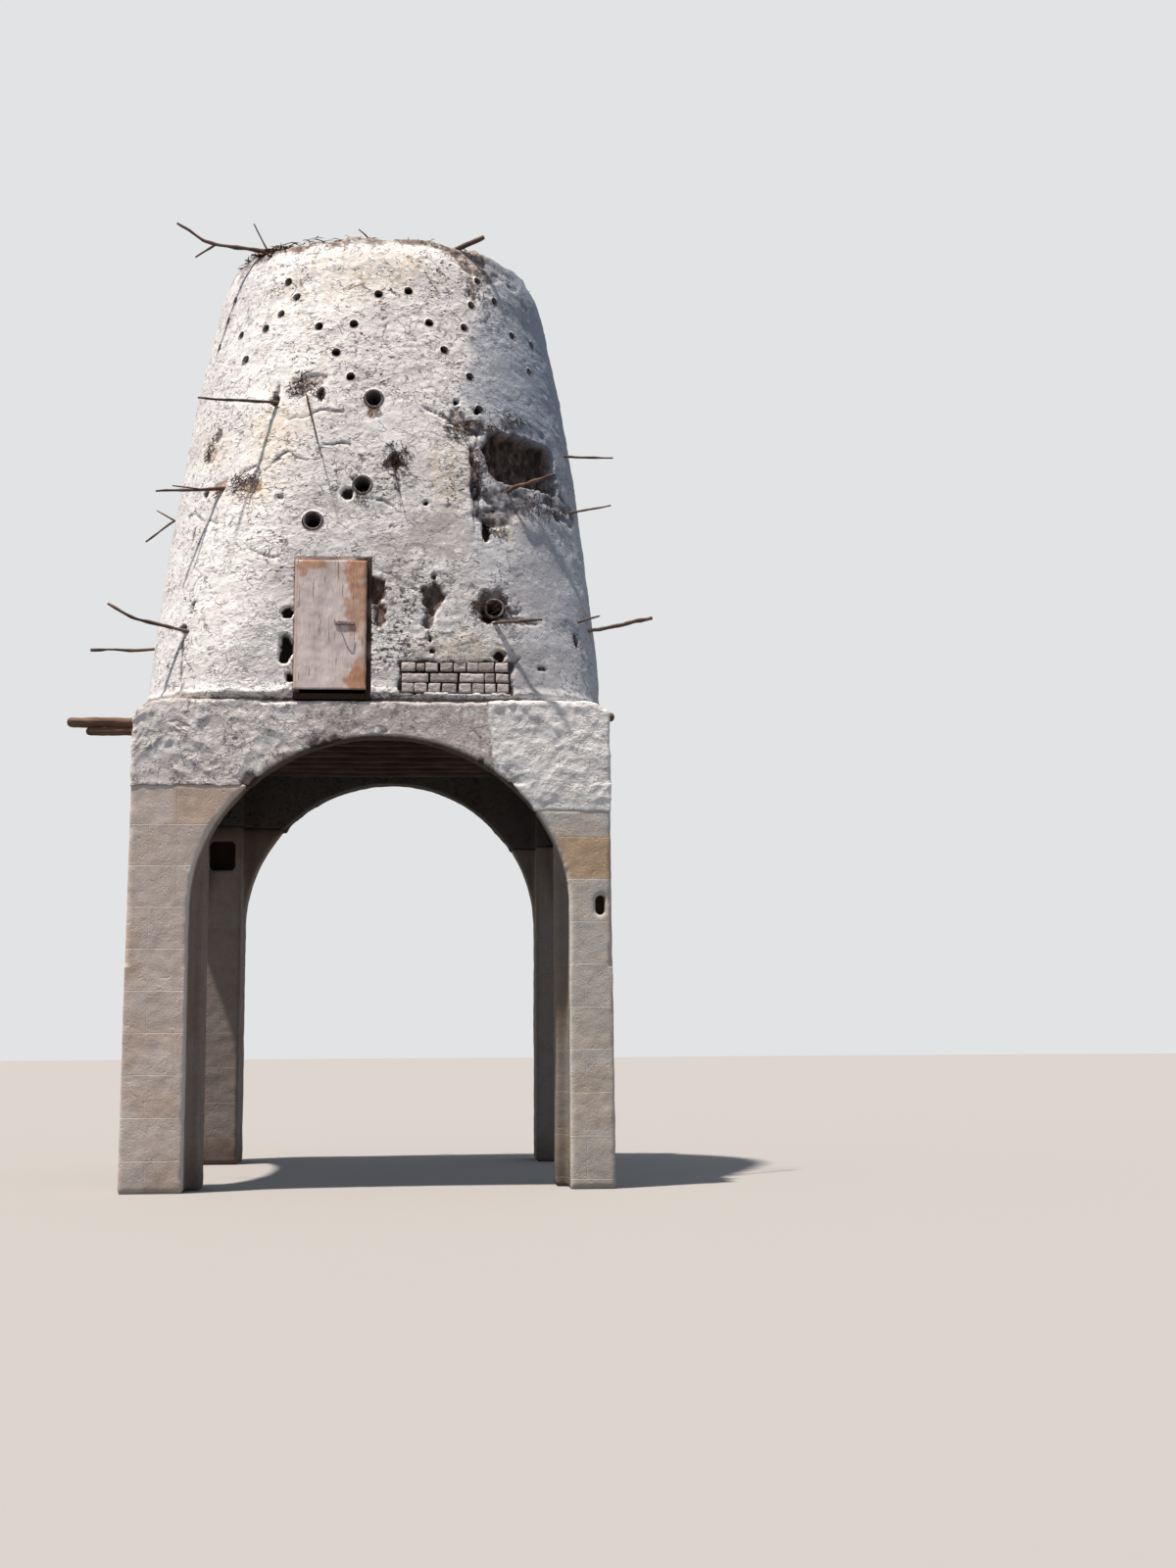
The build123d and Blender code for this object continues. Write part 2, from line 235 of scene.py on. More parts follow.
def layCoats(tree, colour, coats):
    # Each coat is its colour, a pattern, the range in which it comes up, and how little and how much of it shows
    for coat, *pattern in coats:
        amount = addNode(tree, "MapRange", pattern)
        colour = addNode(tree, "Mix", {0: amount, 6: colour, 7: coat}, 2, data_type="RGBA")
    return colour


def finishMaterial(tree, shader, colour, heights):
    # heights are (pattern, depth in metres), the coarsest first
    tree.links.new(colour, shader.inputs["Base Color"])
    relief = {}
    for pattern, depth in heights:
        relief["Normal"] = addNode(tree, "Bump", {"Height": pattern, "Distance": depth, "Strength": 1, **relief})
    tree.links.new(relief["Normal"], shader.inputs["Normal"])


def plasterMaterial(name, codes, strokes):
    # Lime and mud plaster laid by hand: matt, pale coats over grey-brown mud, with lap lines and pits
    material, tree, shader, colours, place, stored = startMaterial(
        name, codes, 0.94, 0.15, "dullCoatAndShadow", "bright", "mud", "shade", "rust", "hollowShadeAndDirt", "sandy", "pitted")
    dullCoatAndShadow, bright, mud, shade, rust, hollowShadeAndDirt, sandy, pitted = stored
    broad = spreadNoise(tree, place, 0.55, (1, 1, 1.3), 6, 0.62)
    grains = spreadNoise(tree, place, 0.035, (1, 1, 1), 5, 0.7)
    rain = spreadNoise(tree, place, 0.06, (1, 1, 8), 4, 0.6)
    flecks = spreadNoise(tree, place, 0.07, (1.3, 1.3, 0.9), 4, 0.6, 0.5)
    clods = spreadNoise(tree, place, 0.09, (1, 1, 1.6), 5, 0.65)
    patchy = addNode(tree, "MapRange", [spreadNoise(tree, place, 0.5, (1, 1, 1), 4, 0.65), 0.42, 0.58, 0.06, 1])
    smoother = addNode(tree, "MapRange", [dullCoatAndShadow, 0, 1, 1, 0.4])
    # Lap lines lie where a noise crosses its level, and are broken up by another
    # They are painted dark: the darker coat beneath, with painted shade under the lap's edge
    lines = 0
    for size, width, level in strokes:
        noise = spreadNoise(tree, place, size, (1.2, 1.2, 0.95), 3, 0.5, 0.7)
        away = addNode(tree, "Math", [noise, level], operation="SUBTRACT")
        away = addNode(tree, "Math", [away], operation="ABSOLUTE")
        along = addNode(tree, "MapRange", [away, 0, width, 1, 0])
        broken = addNode(tree, "MapRange", [spreadNoise(tree, place, size * 0.8, (1, 1, 1), 2, 0.5), 0.5, 0.58])
        along = addNode(tree, "Math", [along, broken], operation="MULTIPLY")
        lines = addNode(tree, "Math", [lines, along], operation="MAXIMUM")
    lines = addNode(tree, "Math", [lines, smoother], operation="MULTIPLY")
    # Round pits and short level dashes, where straw and stones fell out, darkened with painted shade
    widely = addNode(tree, "MapRange", [patchy, 0, 1, 0.35, 1.1])
    roundPits = spreadNoise(tree, place, 0.05, (1.2, 1.2, 0.9), 2, 0.5)
    dashes = spreadNoise(tree, place, 0.03, (2.2, 2.2, 0.9), 3, 0.55, 0.9)
    pits = 0
    for noise, more, low, high, share in ((roundPits, 0.1, 0.66, 0.7, widely), (dashes, 0.04, 0.6, 0.66, patchy)):
        raised = addNode(tree, "Math", [pitted, more, noise], operation="MULTIPLY_ADD")
        here = addNode(tree, "Math", [addNode(tree, "MapRange", [raised, low, high]), share], operation="MULTIPLY")
        pits = addNode(tree, "Math", [pits, here], operation="MAXIMUM")
    pits = addNode(tree, "Math", [pits, smoother], operation="MULTIPLY")
    # Clods and grains break up the edges of the mud, the rust and the painted shade in dark places
    washed = addNode(tree, "MapRange", [rain, 0.35, 0.6, 0.2, 1])
    sandy = addNode(tree, "Math", [sandy, washed], operation="MULTIPLY")
    ragged = addNode(tree, "MapRange", [grains, 0.3, 0.7, -0.22, 0.22])
    mud = addNode(tree, "Math", [mud, ragged], operation="ADD")
    warm = addNode(tree, "MapRange", [clods, 0.3, 0.6])
    rust = addNode(tree, "Math", [rust, warm], operation="MULTIPLY")
    crumbled = addNode(tree, "MapRange", [clods, 0.3, 0.7, -0.18, 0.18])
    hollowShadeAndDirt = addNode(tree, "Math", [hollowShadeAndDirt, crumbled], operation="ADD")
    colour = layCoats(tree, colours["coat"], [
        (colours["thin"], broad, 0.38, 0.62),
        (colours["grain"], grains, 0.3, 0.72, 0, 0.55),
        (colours["streak"], rain, 0.5, 0.7, 0, 0.4),
        (colours["sandy"], sandy),
        (layCoats(tree, colours["dullCoatAndShadow"], [(colours["streak"], grains)]), dullCoatAndShadow),
        # white flecks: painted highlights of lit lime crests
        (colours["fleck"], flecks, 0.57, 0.63, 0, 0.8),
        (colours["line"], lines, 0, 1, 0, 0.82),
        (colours["line"], pits, 0, 1.25, 0, 1.1),
        (layCoats(tree, colours["mud"], [(colours["mudDark"], clods, 0.35, 0.65)]), mud, 0.3, 0.62),
        # painted light, painted shade, rust, then painted shade in hollows with dark stains
        (colours["bright"], bright),
        (colours["shade"], shade, 0, 1, 0, 0.95),
        (colours["rust"], rust),
        (colours["hollowShadeAndDirt"], hollowShadeAndDirt, 0.18, 0.82),
    ])
    lumps = spreadNoise(tree, place, 0.055, (1.5, 1.5, 1), 3, 0.6, 0.4)
    for less in (smoother, patchy):
        lumps = addNode(tree, "Math", [lumps, less], operation="MULTIPLY")
    finishMaterial(tree, shader, colour, [(lumps, 0.014), (lines, -0.004), (grains, 0.005), (pits, -0.008)])
    return material


def stoneMaterial(name, codes, courseHeight, coursePhase, blockLength, blockPhase):
    # Squared limestone in courses: chalky and blotched, with thin pale mortar joints
    material, tree, shader, colours, place, stored = startMaterial(
        name, codes, 0.9, 0.2, "orange", "edgeHighlight", "shade")
    orange, edgeHighlight, shade = stored
    x, y, height = addNode(tree, "SeparateXYZ", [place]).node.outputs
    across = addNode(tree, "Math", [x, y], operation="ADD")
    # No course or joint is dead straight
    wander = addNode(tree, "MapRange", [spreadNoise(tree, place, 0.3, (1, 1, 1), 3, 0.5), 0, 1, -0.012, 0.012])
    height = addNode(tree, "Math", [height, wander], operation="ADD")
    across = addNode(tree, "Math", [across, wander], operation="SUBTRACT")
    flat = addNode(tree, "CombineXYZ", [addNode(tree, "Math", [across, blockPhase], operation="SUBTRACT"),
                                        addNode(tree, "Math", [height, coursePhase], operation="SUBTRACT")])
    blocks = addNode(tree, "TexBrick", {
        "Vector": flat, "Color1": colours["pale"], "Color2": colours["warm"], "Mortar": colours["mortar"],
        "Scale": 1, "Mortar Size": 0.005, "Mortar Smooth": 0.8, "Bias": -0.2,
        "Brick Width": blockLength, "Row Height": courseHeight,
    }, offset=0.5, offset_frequency=2, squash=1, squash_frequency=2)
    joints = blocks.node.outputs[1]
    blotch = spreadNoise(tree, place, 0.16, (1, 1, 1), 6, 0.65)
    grains = spreadNoise(tree, place, 0.02, (1, 1, 1), 4, 0.7)
    colour = layCoats(tree, blocks, [
        (colours["stain"], blotch, 0.4, 0.66, 0, 0.55),
        (colours["grain"], grains, 0.45, 0.75, 0, 0.4),
        (colours["mortar"], joints, 0, 1, 0, 0.75),
    ])
    colour = addNode(tree, "Mix", {0: orange, 6: colour, 7: colours["orange"]}, 2,
                     data_type="RGBA", blend_type="MULTIPLY")
    colour = layCoats(tree, colour, [(colours["edgeHighlight"], edgeHighlight), (colours["shade"], shade)])
    pocks = addNode(tree, "MapRange", [spreadNoise(tree, place, 0.045, (1, 1, 1), 3, 0.6), 0.6, 0.72])
    finishMaterial(tree, shader, colour, [(blotch, 0.006), (joints, -0.003), (pocks, -0.003), (grains, 0.002)])
    return material


def woodMaterial(name, codes, along, grainWidth):
    # Bare weathered wood: no sheen, grain and drying cracks along one axis, stained
    material, tree, shader, colours, place, stored = startMaterial(name, codes, 0.85, 0.2, "rust", "shade")
    rust, shade = stored
    patterns = []
    for size, longer, detail, rough, distortion in ((grainWidth, 14, 5, 0.65, 0.3), (0.09, 4, 4, 0.6, 0),
                                                    (grainWidth * 2.2, 30, 2, 0.5, 0)):
        stretch = [longer if axis == along else 1 for axis in range(3)]
        patterns.append(spreadNoise(tree, place, size, stretch, detail, rough, distortion))
    grain, broad, cracks = patterns
    cracks = addNode(tree, "MapRange", [cracks, 0.66, 0.7])
    streaky = addNode(tree, "MapRange", [grain, 0.2, 0.6, 0.5, 1])
    stain = addNode(tree, "Math", [rust, streaky], operation="MULTIPLY")
    colour = layCoats(tree, colours["pale"], [
        (colours["dark"], broad, 0.36, 0.64),
        (colours["grain"], grain, 0.42, 0.68, 0, 0.7),
        (colours["crack"], cracks, 0, 1, 0, 0.8),
        (colours["rust"], stain),
        (colours["shade"], shade),
    ])
    finishMaterial(tree, shader, colour, [(grain, 0.004), (cracks, -0.004)])
    return material


def earthMaterial(name, pale, dark, size, rough=0.95, labels=()):
    # Dry mud and what is as dull as mud: clods, straw-coloured flecks and dust, and a tone for each brick
    codes = {"pale": pale, "dark": dark, "fleck": "#C2B29A"}
    material, tree, shader, colours, place, tones = startMaterial(name, codes, rough, 0.1, *labels)
    clods = spreadNoise(tree, place, size, (1, 1, 1), 6, 0.65)
    darker = [clods, 0.35, 0.65]
    if tones:
        darker = [addNode(tree, "Math", [clods, *tones], operation="ADD"), 0.6, 1.4]
    flecks = addNode(tree, "MapRange", [spreadNoise(tree, place, size / 5, (1, 3, 1), 2, 0.5), 0.66, 0.72])
    colour = layCoats(tree, colours["pale"], [(colours["dark"], *darker), (colours["fleck"], flecks, 0, 1, 0, 0.45)])
    finishMaterial(tree, shader, colour, [(clods, 0.03), (flecks, 0.004)])
    return material


# Strokes are the size of the lumps whose edges the lap lines follow, the line's width and the level
# The bright and shade colours are painted light and painted shade; the hollow colour is painted shade in hollows,
# with dark stains
towerPlaster = plasterMaterial("whitewashed mud plaster", {
    "coat": "#F1EDEA", "thin": "#E3DDD9", "grain": "#D4CDC8", "streak": "#C6BAAE", "line": "#463D39",
    "mud": "#9C8A7D", "mudDark": "#584A43", "shade": "#87909D", "rust": "#97684D", "hollowShadeAndDirt": "#241E1D",
    "dullCoatAndShadow": "#BDB7B7", "bright": "#F6F3F0", "fleck": "#F8F5F1", "sandy": "#E0D0B6",
}, [(0.42, 0.010, 0.5), (0.2, 0.019, 0.46), (0.12, 0.028, 0.52)])
# In the grey plaster the dull colour is also painted shadow under the tower's bulge, and the shade colour painted
# shade inside
basePlaster = plasterMaterial("grey mud plaster", {
    "coat": "#E9E4E0", "thin": "#D8D2CE", "grain": "#C9C1BC", "streak": "#B8AFA9", "line": "#554B47",
    "mud": "#9A897E", "mudDark": "#62534C", "shade": "#2E2522", "rust": "#94694F", "hollowShadeAndDirt": "#1C1716",
    "dullCoatAndShadow": "#C3B7B4", "bright": "#E6E3E0", "fleck": "#EFEBE7", "sandy": "#D0C1A8",
}, [(0.36, 0.012, 0.5), (0.2, 0.019, 0.55), (0.12, 0.024, 0.5)])
# Courses of 42 and 43 cm and blocks of 56 and 62 cm, each pier with its own first joints
leftStone = stoneMaterial("limestone courses left", {
    "pale": "#D2C5BC", "warm": "#C7B8AD", "mortar": "#DDD5CD", "stain": "#B5A598", "grain": "#A8998E",
    "edgeHighlight": "#DDD5CE", "shade": "#433429", "orange": "#F2DFCB",
}, 0.42, 4.10, 0.56, -4.41)
rightStone = stoneMaterial("limestone courses right", {
    "pale": "#C0BAB3", "warm": "#C2B6A6", "mortar": "#D5CFC8", "stain": "#A8A29C", "grain": "#98928C",
    "edgeHighlight": "#D5D0CA", "shade": "#433429", "orange": "#FFE3C4",
}, 0.432, 3.555, 0.62, -0.6)
# Grain is drawn about four times coarser than it is, so that it shows
stickWood = woodMaterial("weathered branch", {
    "pale": "#7E6E62", "dark": "#4E4038", "grain": "#43362F", "crack": "#2A211D", "rust": "#6E4636",
    "shade": "#2E2622",
}, 0, 0.01)
logWood = woodMaterial("palm log", {
    "pale": "#8A7363", "dark": "#5E4C42", "grain": "#4E3F37", "crack": "#2C231F", "rust": "#6A4433",
    "shade": "#1E1714",
}, 0, 0.014)
boardWood = woodMaterial("dark board with painted shade", {
    "pale": "#4A3B33", "dark": "#2E2420", "grain": "#2A201C", "crack": "#15100E", "rust": "#4A3328",
    "shade": "#15100E",
}, 1, 0.016)
hatchWood = woodMaterial("bleached hatch board", {
    "pale": "#E4D6D1", "dark": "#D3C3BD", "grain": "#C6B3AB", "crack": "#97867D", "rust": "#B27E58",
    "shade": "#35261F",
}, 2, 0.009)
# Fired clay and rusted iron are a little less dull than the mud, dust and straw round them
potClay = earthMaterial("grey fired clay", "#9A918E", "#6E6461", 0.05, 0.85)
ironBar = earthMaterial("greyed iron", "#B0A59F", "#7B6A60", 0.02, 0.6)
roofMud = earthMaterial("roof mud", "#9A8A79", "#6B5C50", 0.22)
# painted shade: dark mud for the tower's inside and the hidden floor
darkMud = earthMaterial("dark mud with painted shade", "#4A3D35", "#2E2521", 0.08)
brickClay = earthMaterial("dusty mud brick", "#C4BAB5", "#8D8078", 0.05, 0.95, ["tone"])
strawStalk = earthMaterial("straw and twigs", "#69503F", "#3E2D25", 0.02)
print("materials done")


# Tower skin: one grid round the tower, cut into four pieces

tower = {
    # height, half the width and the radius of the corners
    "outlines": [(4.98, 2.425, 1.0), (5.6, 2.397, 1.18), (6.4, 2.345, 1.43), (7.2, 2.27, 1.65), (8.0, 2.185, 1.83),
                 (8.8, 2.085, 1.96), (9.5, 1.952, 1.92), (10.08, 1.805, 1.78), (10.2, 1.745, 1.72)],
    "top": 10.2,
    "wall": 0.4,
    "lining": 0.44,  # how deep the skin goes into the holes
    "foot": 4.955,
    "reach": 2.35,  # about half the width, for the width of the cells
    "cell": 0.0165,
    "sideCell": 0.021,
    "backCell": 0.03,
    "seam": 50,
    # ovals on the front: x, height, width, height of the oval, how strong
    "smooth": [(0.7, 6.75, 0.75, 0.62, 0.9), (1.75, 6.35, 0.8, 1.5, 0.8), (0.1, 6.64, 0.5, 0.22, 0.7),
               (1.7, 5.35, 0.8, 0.7, 0.7), (-0.2, 7.05, 0.7, 0.2, 0.5), (1.3, 8.6, 0.5, 0.5, 0.6),
               (0.3, 6.35, 0.4, 0.4, 0.5)],
    "sandy": [(0.79, 7.45, 0.5, 1.1, 0.8), (-1.76, 7.83, 0.4, 0.8, 0.6), (0.9, 5.52, 0.9, 0.4, 0.8),
              (1.42, 6.86, 0.4, 0.4, 1), (-1.1, 7.9, 0.6, 1.0, 0.6), (-0.1, 9.8, 2.2, 0.7, 0.5),
              (-1.3, 7.25, 0.5, 0.4, 0.6)],
    "pitted": [(0.1, 5.8, 0.6, 1.6, 0.9), (0.6, 5.8, 1.5, 1.4, 0.5), (0.35, 7.4, 1.3, 0.9, 0.6),
               (-1.2, 5.25, 1.4, 0.5, 0.3), (-0.55, 5.2, 1.0, 0.3, 0.5), (0.3, 8.1, 1.6, 0.7, 0.1),
               (0.5, 9.3, 1.8, 0.6, 0.2)],
    # painted light: ovals where the front is painted brighter
    "bright": [(-1.3, 5.7, 1.0, 1.5, 0.9), (0.35, 8.0, 1.1, 0.7, 0.8), (-1.0, 6.9, 0.7, 0.6, 0.5)],
    # height and the angle in degrees right of the front at which the painted shade of the right side begins
    "shadeFrom": [(5.0, 31), (5.24, 30.3), (5.65, 27.7), (6.18, 25), (6.61, 22), (7.05, 24.2), (7.97, 25.8),
                 (8.35, 24.5), (8.64, 26.6), (9.05, 28.8), (9.4, 34), (9.8, 38), (10.2, 42)],
    # section of the rim: how far in and how high
    "rim": [(0.025, 10.222), (0.07, 10.238), (0.13, 10.243), (0.2, 10.24), (0.27, 10.23), (0.33, 10.205),
            (0.37, 10.16), (0.395, 10.1), (0.4, 10.04), (0.4, 9.98)],
}
flightHoles = {
    "radius": 0.047,
    # bored straight back: x and height
    "straight": [(0.005, 9.507), (0.325, 9.57), (-0.255, 9.146), (-0.44, 8.812), (-0.279, 8.523), (0.552, 9.203)],
    # bored towards the axis: degrees right of the front and height
    "turned": [(-31, 9.742), (-27, 9.538), (-32, 9.36), (-18, 9.139), (-37, 9.213), (-43, 8.883),
               (27.3, 9.207), (20, 8.894), (27.3, 8.614), (31, 9.509), (35, 9.843), (41, 9.64),
               (-58, 9.755), (-60, 9.527), (-48, 9.223), (-62.5, 9.227), (52, 8.896), (58, 9.291),
               (47, 9.286), (29, 8.234)],
}
pots = {
    # x, height and how far forward the lip stands
    "places": [(-0.032, 8.276, 2.16), (-0.139, 7.3, 2.275), (-0.651, 6.895, 2.318), (1.247, 5.963, 2.385)],
    "bore": 0.109,
    "sides": 40,
    # radius and depth behind the lip's front, from the tail of the throat round the lip to the tail
    "profile": [(0.062, 0.43), (0.064, 0.3), (0.07, 0.15), (0.078, 0.05), (0.082, 0.015), (0.086, 0.003), (0.094, 0),
                (0.102, 0.004), (0.105, 0.014), (0.104, 0.06), (0.101, 0.2), (0.095, 0.43)],
}
recess = {"angle": 42, "middle": 7.7, "width": 1.04, "height": 0.6, "floor": 2.18}
hatch = {"middle": -0.425, "width": 0.8, "top": 6.49, "foot": 4.98, "front": -2.425, "lean": (0.08, 1.42),
         "lining": 0.38}


def smoothThrough(knots, values, at):
    # A smooth curve through the values at the knots
    slopes = np.gradient(values, knots)
    low = np.clip(np.searchsorted(knots, at) - 1, 0, len(knots) - 2)
    width = knots[low + 1] - knots[low]
    part = np.clip((at - knots[low]) / width, -0.1, 1.1)
    return ((1 + 2 * part) * (1 - part) ** 2 * values[low] + part * (1 - part) ** 2 * width * slopes[low]
            + part ** 2 * (3 - 2 * part) * values[low + 1] + part ** 2 * (part - 1) * width * slopes[low + 1])


outlineHeights, outlineHalves, outlineCorners = np.array(tower["outlines"]).T


def outlineAt(height):
    height = np.clip(height, outlineHeights[0], outlineHeights[-1])
    half = smoothThrough(outlineHeights, outlineHalves, height)
    return half, np.minimum(smoothThrough(outlineHeights, outlineCorners, height), half - 0.02)


def reachAt(angle, height):
    # Distance from the axis to the rounded square, at an angle from the front
    half, corner = outlineAt(height)
    off = np.abs(np.mod(angle + math.pi / 4, math.pi / 2) - math.pi / 4)
    straight = half - corner
    side = half / np.cos(off)
    root = np.maximum(corner ** 2 - straight ** 2 * (np.cos(off) - np.sin(off)) ** 2, 0)
    bent = straight * (np.sin(off) + np.cos(off)) + np.sqrt(root)
    return np.where(half * np.tan(off) <= straight, side, bent)


def angleAt(x, height):
    half, corner = outlineAt(height)
    past = max(abs(x) - (half - corner), 0)
    y = half - corner + math.sqrt(max(corner ** 2 - past ** 2, 0)) if past else half
    return math.atan2(x, y)


def onTower(angle, height, inset=0):
    reach = reachAt(angle, height) - inset
    return np.stack([reach * np.sin(angle), -reach * np.cos(angle), height + 0 * angle], -1)


# Columns are closer at the front, rows are the same all round, and one row lies on the hatch's top
seam = math.radians(tower["seam"])
frontColumns = int(2 * seam * tower["reach"] / tower["cell"])
sideColumns = int((math.pi - 2 * seam) * tower["reach"] / tower["sideCell"])
backColumns = int(2 * seam * tower["reach"] / tower["backCell"])
columnAngles = np.concatenate([
    np.linspace(-seam, seam, frontColumns, endpoint=False),
    np.linspace(seam, math.pi - seam, sideColumns, endpoint=False),
    np.linspace(math.pi - seam, math.pi + seam, backColumns, endpoint=False),
    np.linspace(math.pi + seam, 2 * math.pi - seam, sideColumns, endpoint=False),
    [2 * math.pi - seam],
])
rowHeights = np.concatenate([
    np.arange(tower["foot"], hatch["top"] - 0.008, tower["cell"]),
    np.linspace(hatch["top"], tower["top"], int((tower["top"] - hatch["top"]) / tower["cell"])),
])
hatchRow = int(np.argmin(np.abs(rowHeights - hatch["top"])))
wallRows = len(rowHeights)
angles, heights = np.meshgrid(columnAngles, rowHeights)
kept = np.ones((wallRows - 1, len(columnAngles) - 1), bool)
rings = []


def cutRound(middleAngle, middleHeight, radius, axis):
    # Leaves out a block of cells and bends its edge and the cells round it into a circle
    spacing = np.gradient(columnAngles)
    nearest = int(np.argmin(np.abs(columnAngles - middleAngle)))
    reach = float(reachAt(np.array(middleAngle), middleHeight))
    columnStep, rowStep = spacing[nearest] * reach, tower["cell"]
    across = max(3, round(1.77 * radius / columnStep))
    upright = max(3, round(1.77 * radius / rowStep))
    firstColumn = round(np.interp(middleAngle, columnAngles, range(len(columnAngles))) - across / 2)
    firstRow = round(np.interp(middleHeight, rowHeights, range(wallRows)) - upright / 2)
    middleColumn, middleRow = firstColumn + across / 2, firstRow + upright / 2
    reachColumns, reachRows = round(across * 1.3) + 1, round(upright * 1.3) + 1
    rows = np.arange(max(firstRow - reachRows, 0), min(firstRow + upright + reachRows + 1, wallRows))
    columns = np.arange(max(firstColumn - reachColumns, 0),
                        min(firstColumn + across + reachColumns + 1, len(columnAngles)))
    columnGrid, rowGrid = np.meshgrid(columns, rows)
    offColumn = (columnGrid - middleColumn) / (across / 2)
    offRow = (rowGrid - middleRow) / (upright / 2)
    ring = np.maximum(np.abs(offColumn), np.abs(offRow))
    length = np.maximum(np.hypot(offColumn, offRow), 1e-6)
    weight = 1 - smoothStep(1, 2.1, ring)
    window = np.ix_(rows, columns)
    nowAcross = (angles[window] - middleAngle) * reach
    nowUp = heights[window] - middleHeight
    newAcross = weight * radius * ring * offColumn / length + (1 - weight) * nowAcross
    newUp = weight * radius * ring * offRow / length + (1 - weight) * nowUp
    angles[window] = middleAngle + newAcross / reach
    heights[window] = middleHeight + newUp
    kept[firstRow:firstRow + upright, firstColumn:firstColumn + across] = False
    loop = [(firstRow, firstColumn + step) for step in range(across)]
    loop += [(firstRow + step, firstColumn + across) for step in range(upright)]
    loop += [(firstRow + upright, firstColumn + across - step) for step in range(across)]
    loop += [(firstRow + upright - step, firstColumn) for step in range(upright)]
    rings.append({"loop": loop, "axis": axis, "closed": True, "depth": tower["lining"]})


def wrapped(angle):
    # The same direction as the first column or after it
    return angle if angle >= -seam else angle + 2 * math.pi


openings = [(angleAt(x, height), height, flightHoles["radius"], (0, 1, 0)) for x, height in flightHoles["straight"]]
for degreesRound, height in flightHoles["turned"]:
    turned = math.radians(degreesRound)
    openings.append((turned, height, flightHoles["radius"], (-math.sin(turned), math.cos(turned), 0)))
openings += [(angleAt(x, height), height, pots["bore"], (0, 1, 0)) for x, height, lip in pots["places"]]
for angle, height, radius, axis in openings:
    cutRound(wrapped(angle), height, radius, axis)
    cutRound(wrapped(angle + math.pi), height, radius, (-axis[0], -axis[1], 0))

# The hatch opening: two columns pulled straight, the cells between them left out
hatchLeft = hatch["middle"] - hatch["width"] / 2
hatchRight = hatch["middle"] + hatch["width"] / 2
middleHeight = (hatch["foot"] + hatch["top"]) / 2
leftColumn = int(np.argmin(np.abs(columnAngles - angleAt(hatchLeft, middleHeight))))
rightColumn = int(np.argmin(np.abs(columnAngles - angleAt(hatchRight, middleHeight))))
for row in range(hatchRow + 12):
    half, corner = outlineAt(heights[row, leftColumn])
    span = slice(leftColumn - 9, rightColumn + 10)
    flatX = half * np.tan(columnAngles[span])
    anchors = flatX[[0, 9, -10, -1]]
    targets = [flatX[0], hatchLeft, hatchRight, flatX[-1]]
    weight = 1 - smoothStep(hatchRow, hatchRow + 11, row)
    movedX = weight * np.interp(flatX, anchors, targets) + (1 - weight) * flatX
    angles[row, span] += np.arctan2(movedX, half) - np.arctan2(flatX, half)
kept[:hatchRow, leftColumn:rightColumn] = False
loop = [(row, leftColumn) for row in range(hatchRow + 1)]
loop += [(hatchRow, column) for column in range(leftColumn + 1, rightColumn + 1)]
loop += [(row, rightColumn) for row in range(hatchRow - 1, -1, -1)]
rings.append({"loop": loop, "axis": (0, 1, 0), "closed": False, "depth": hatch["lining"]})

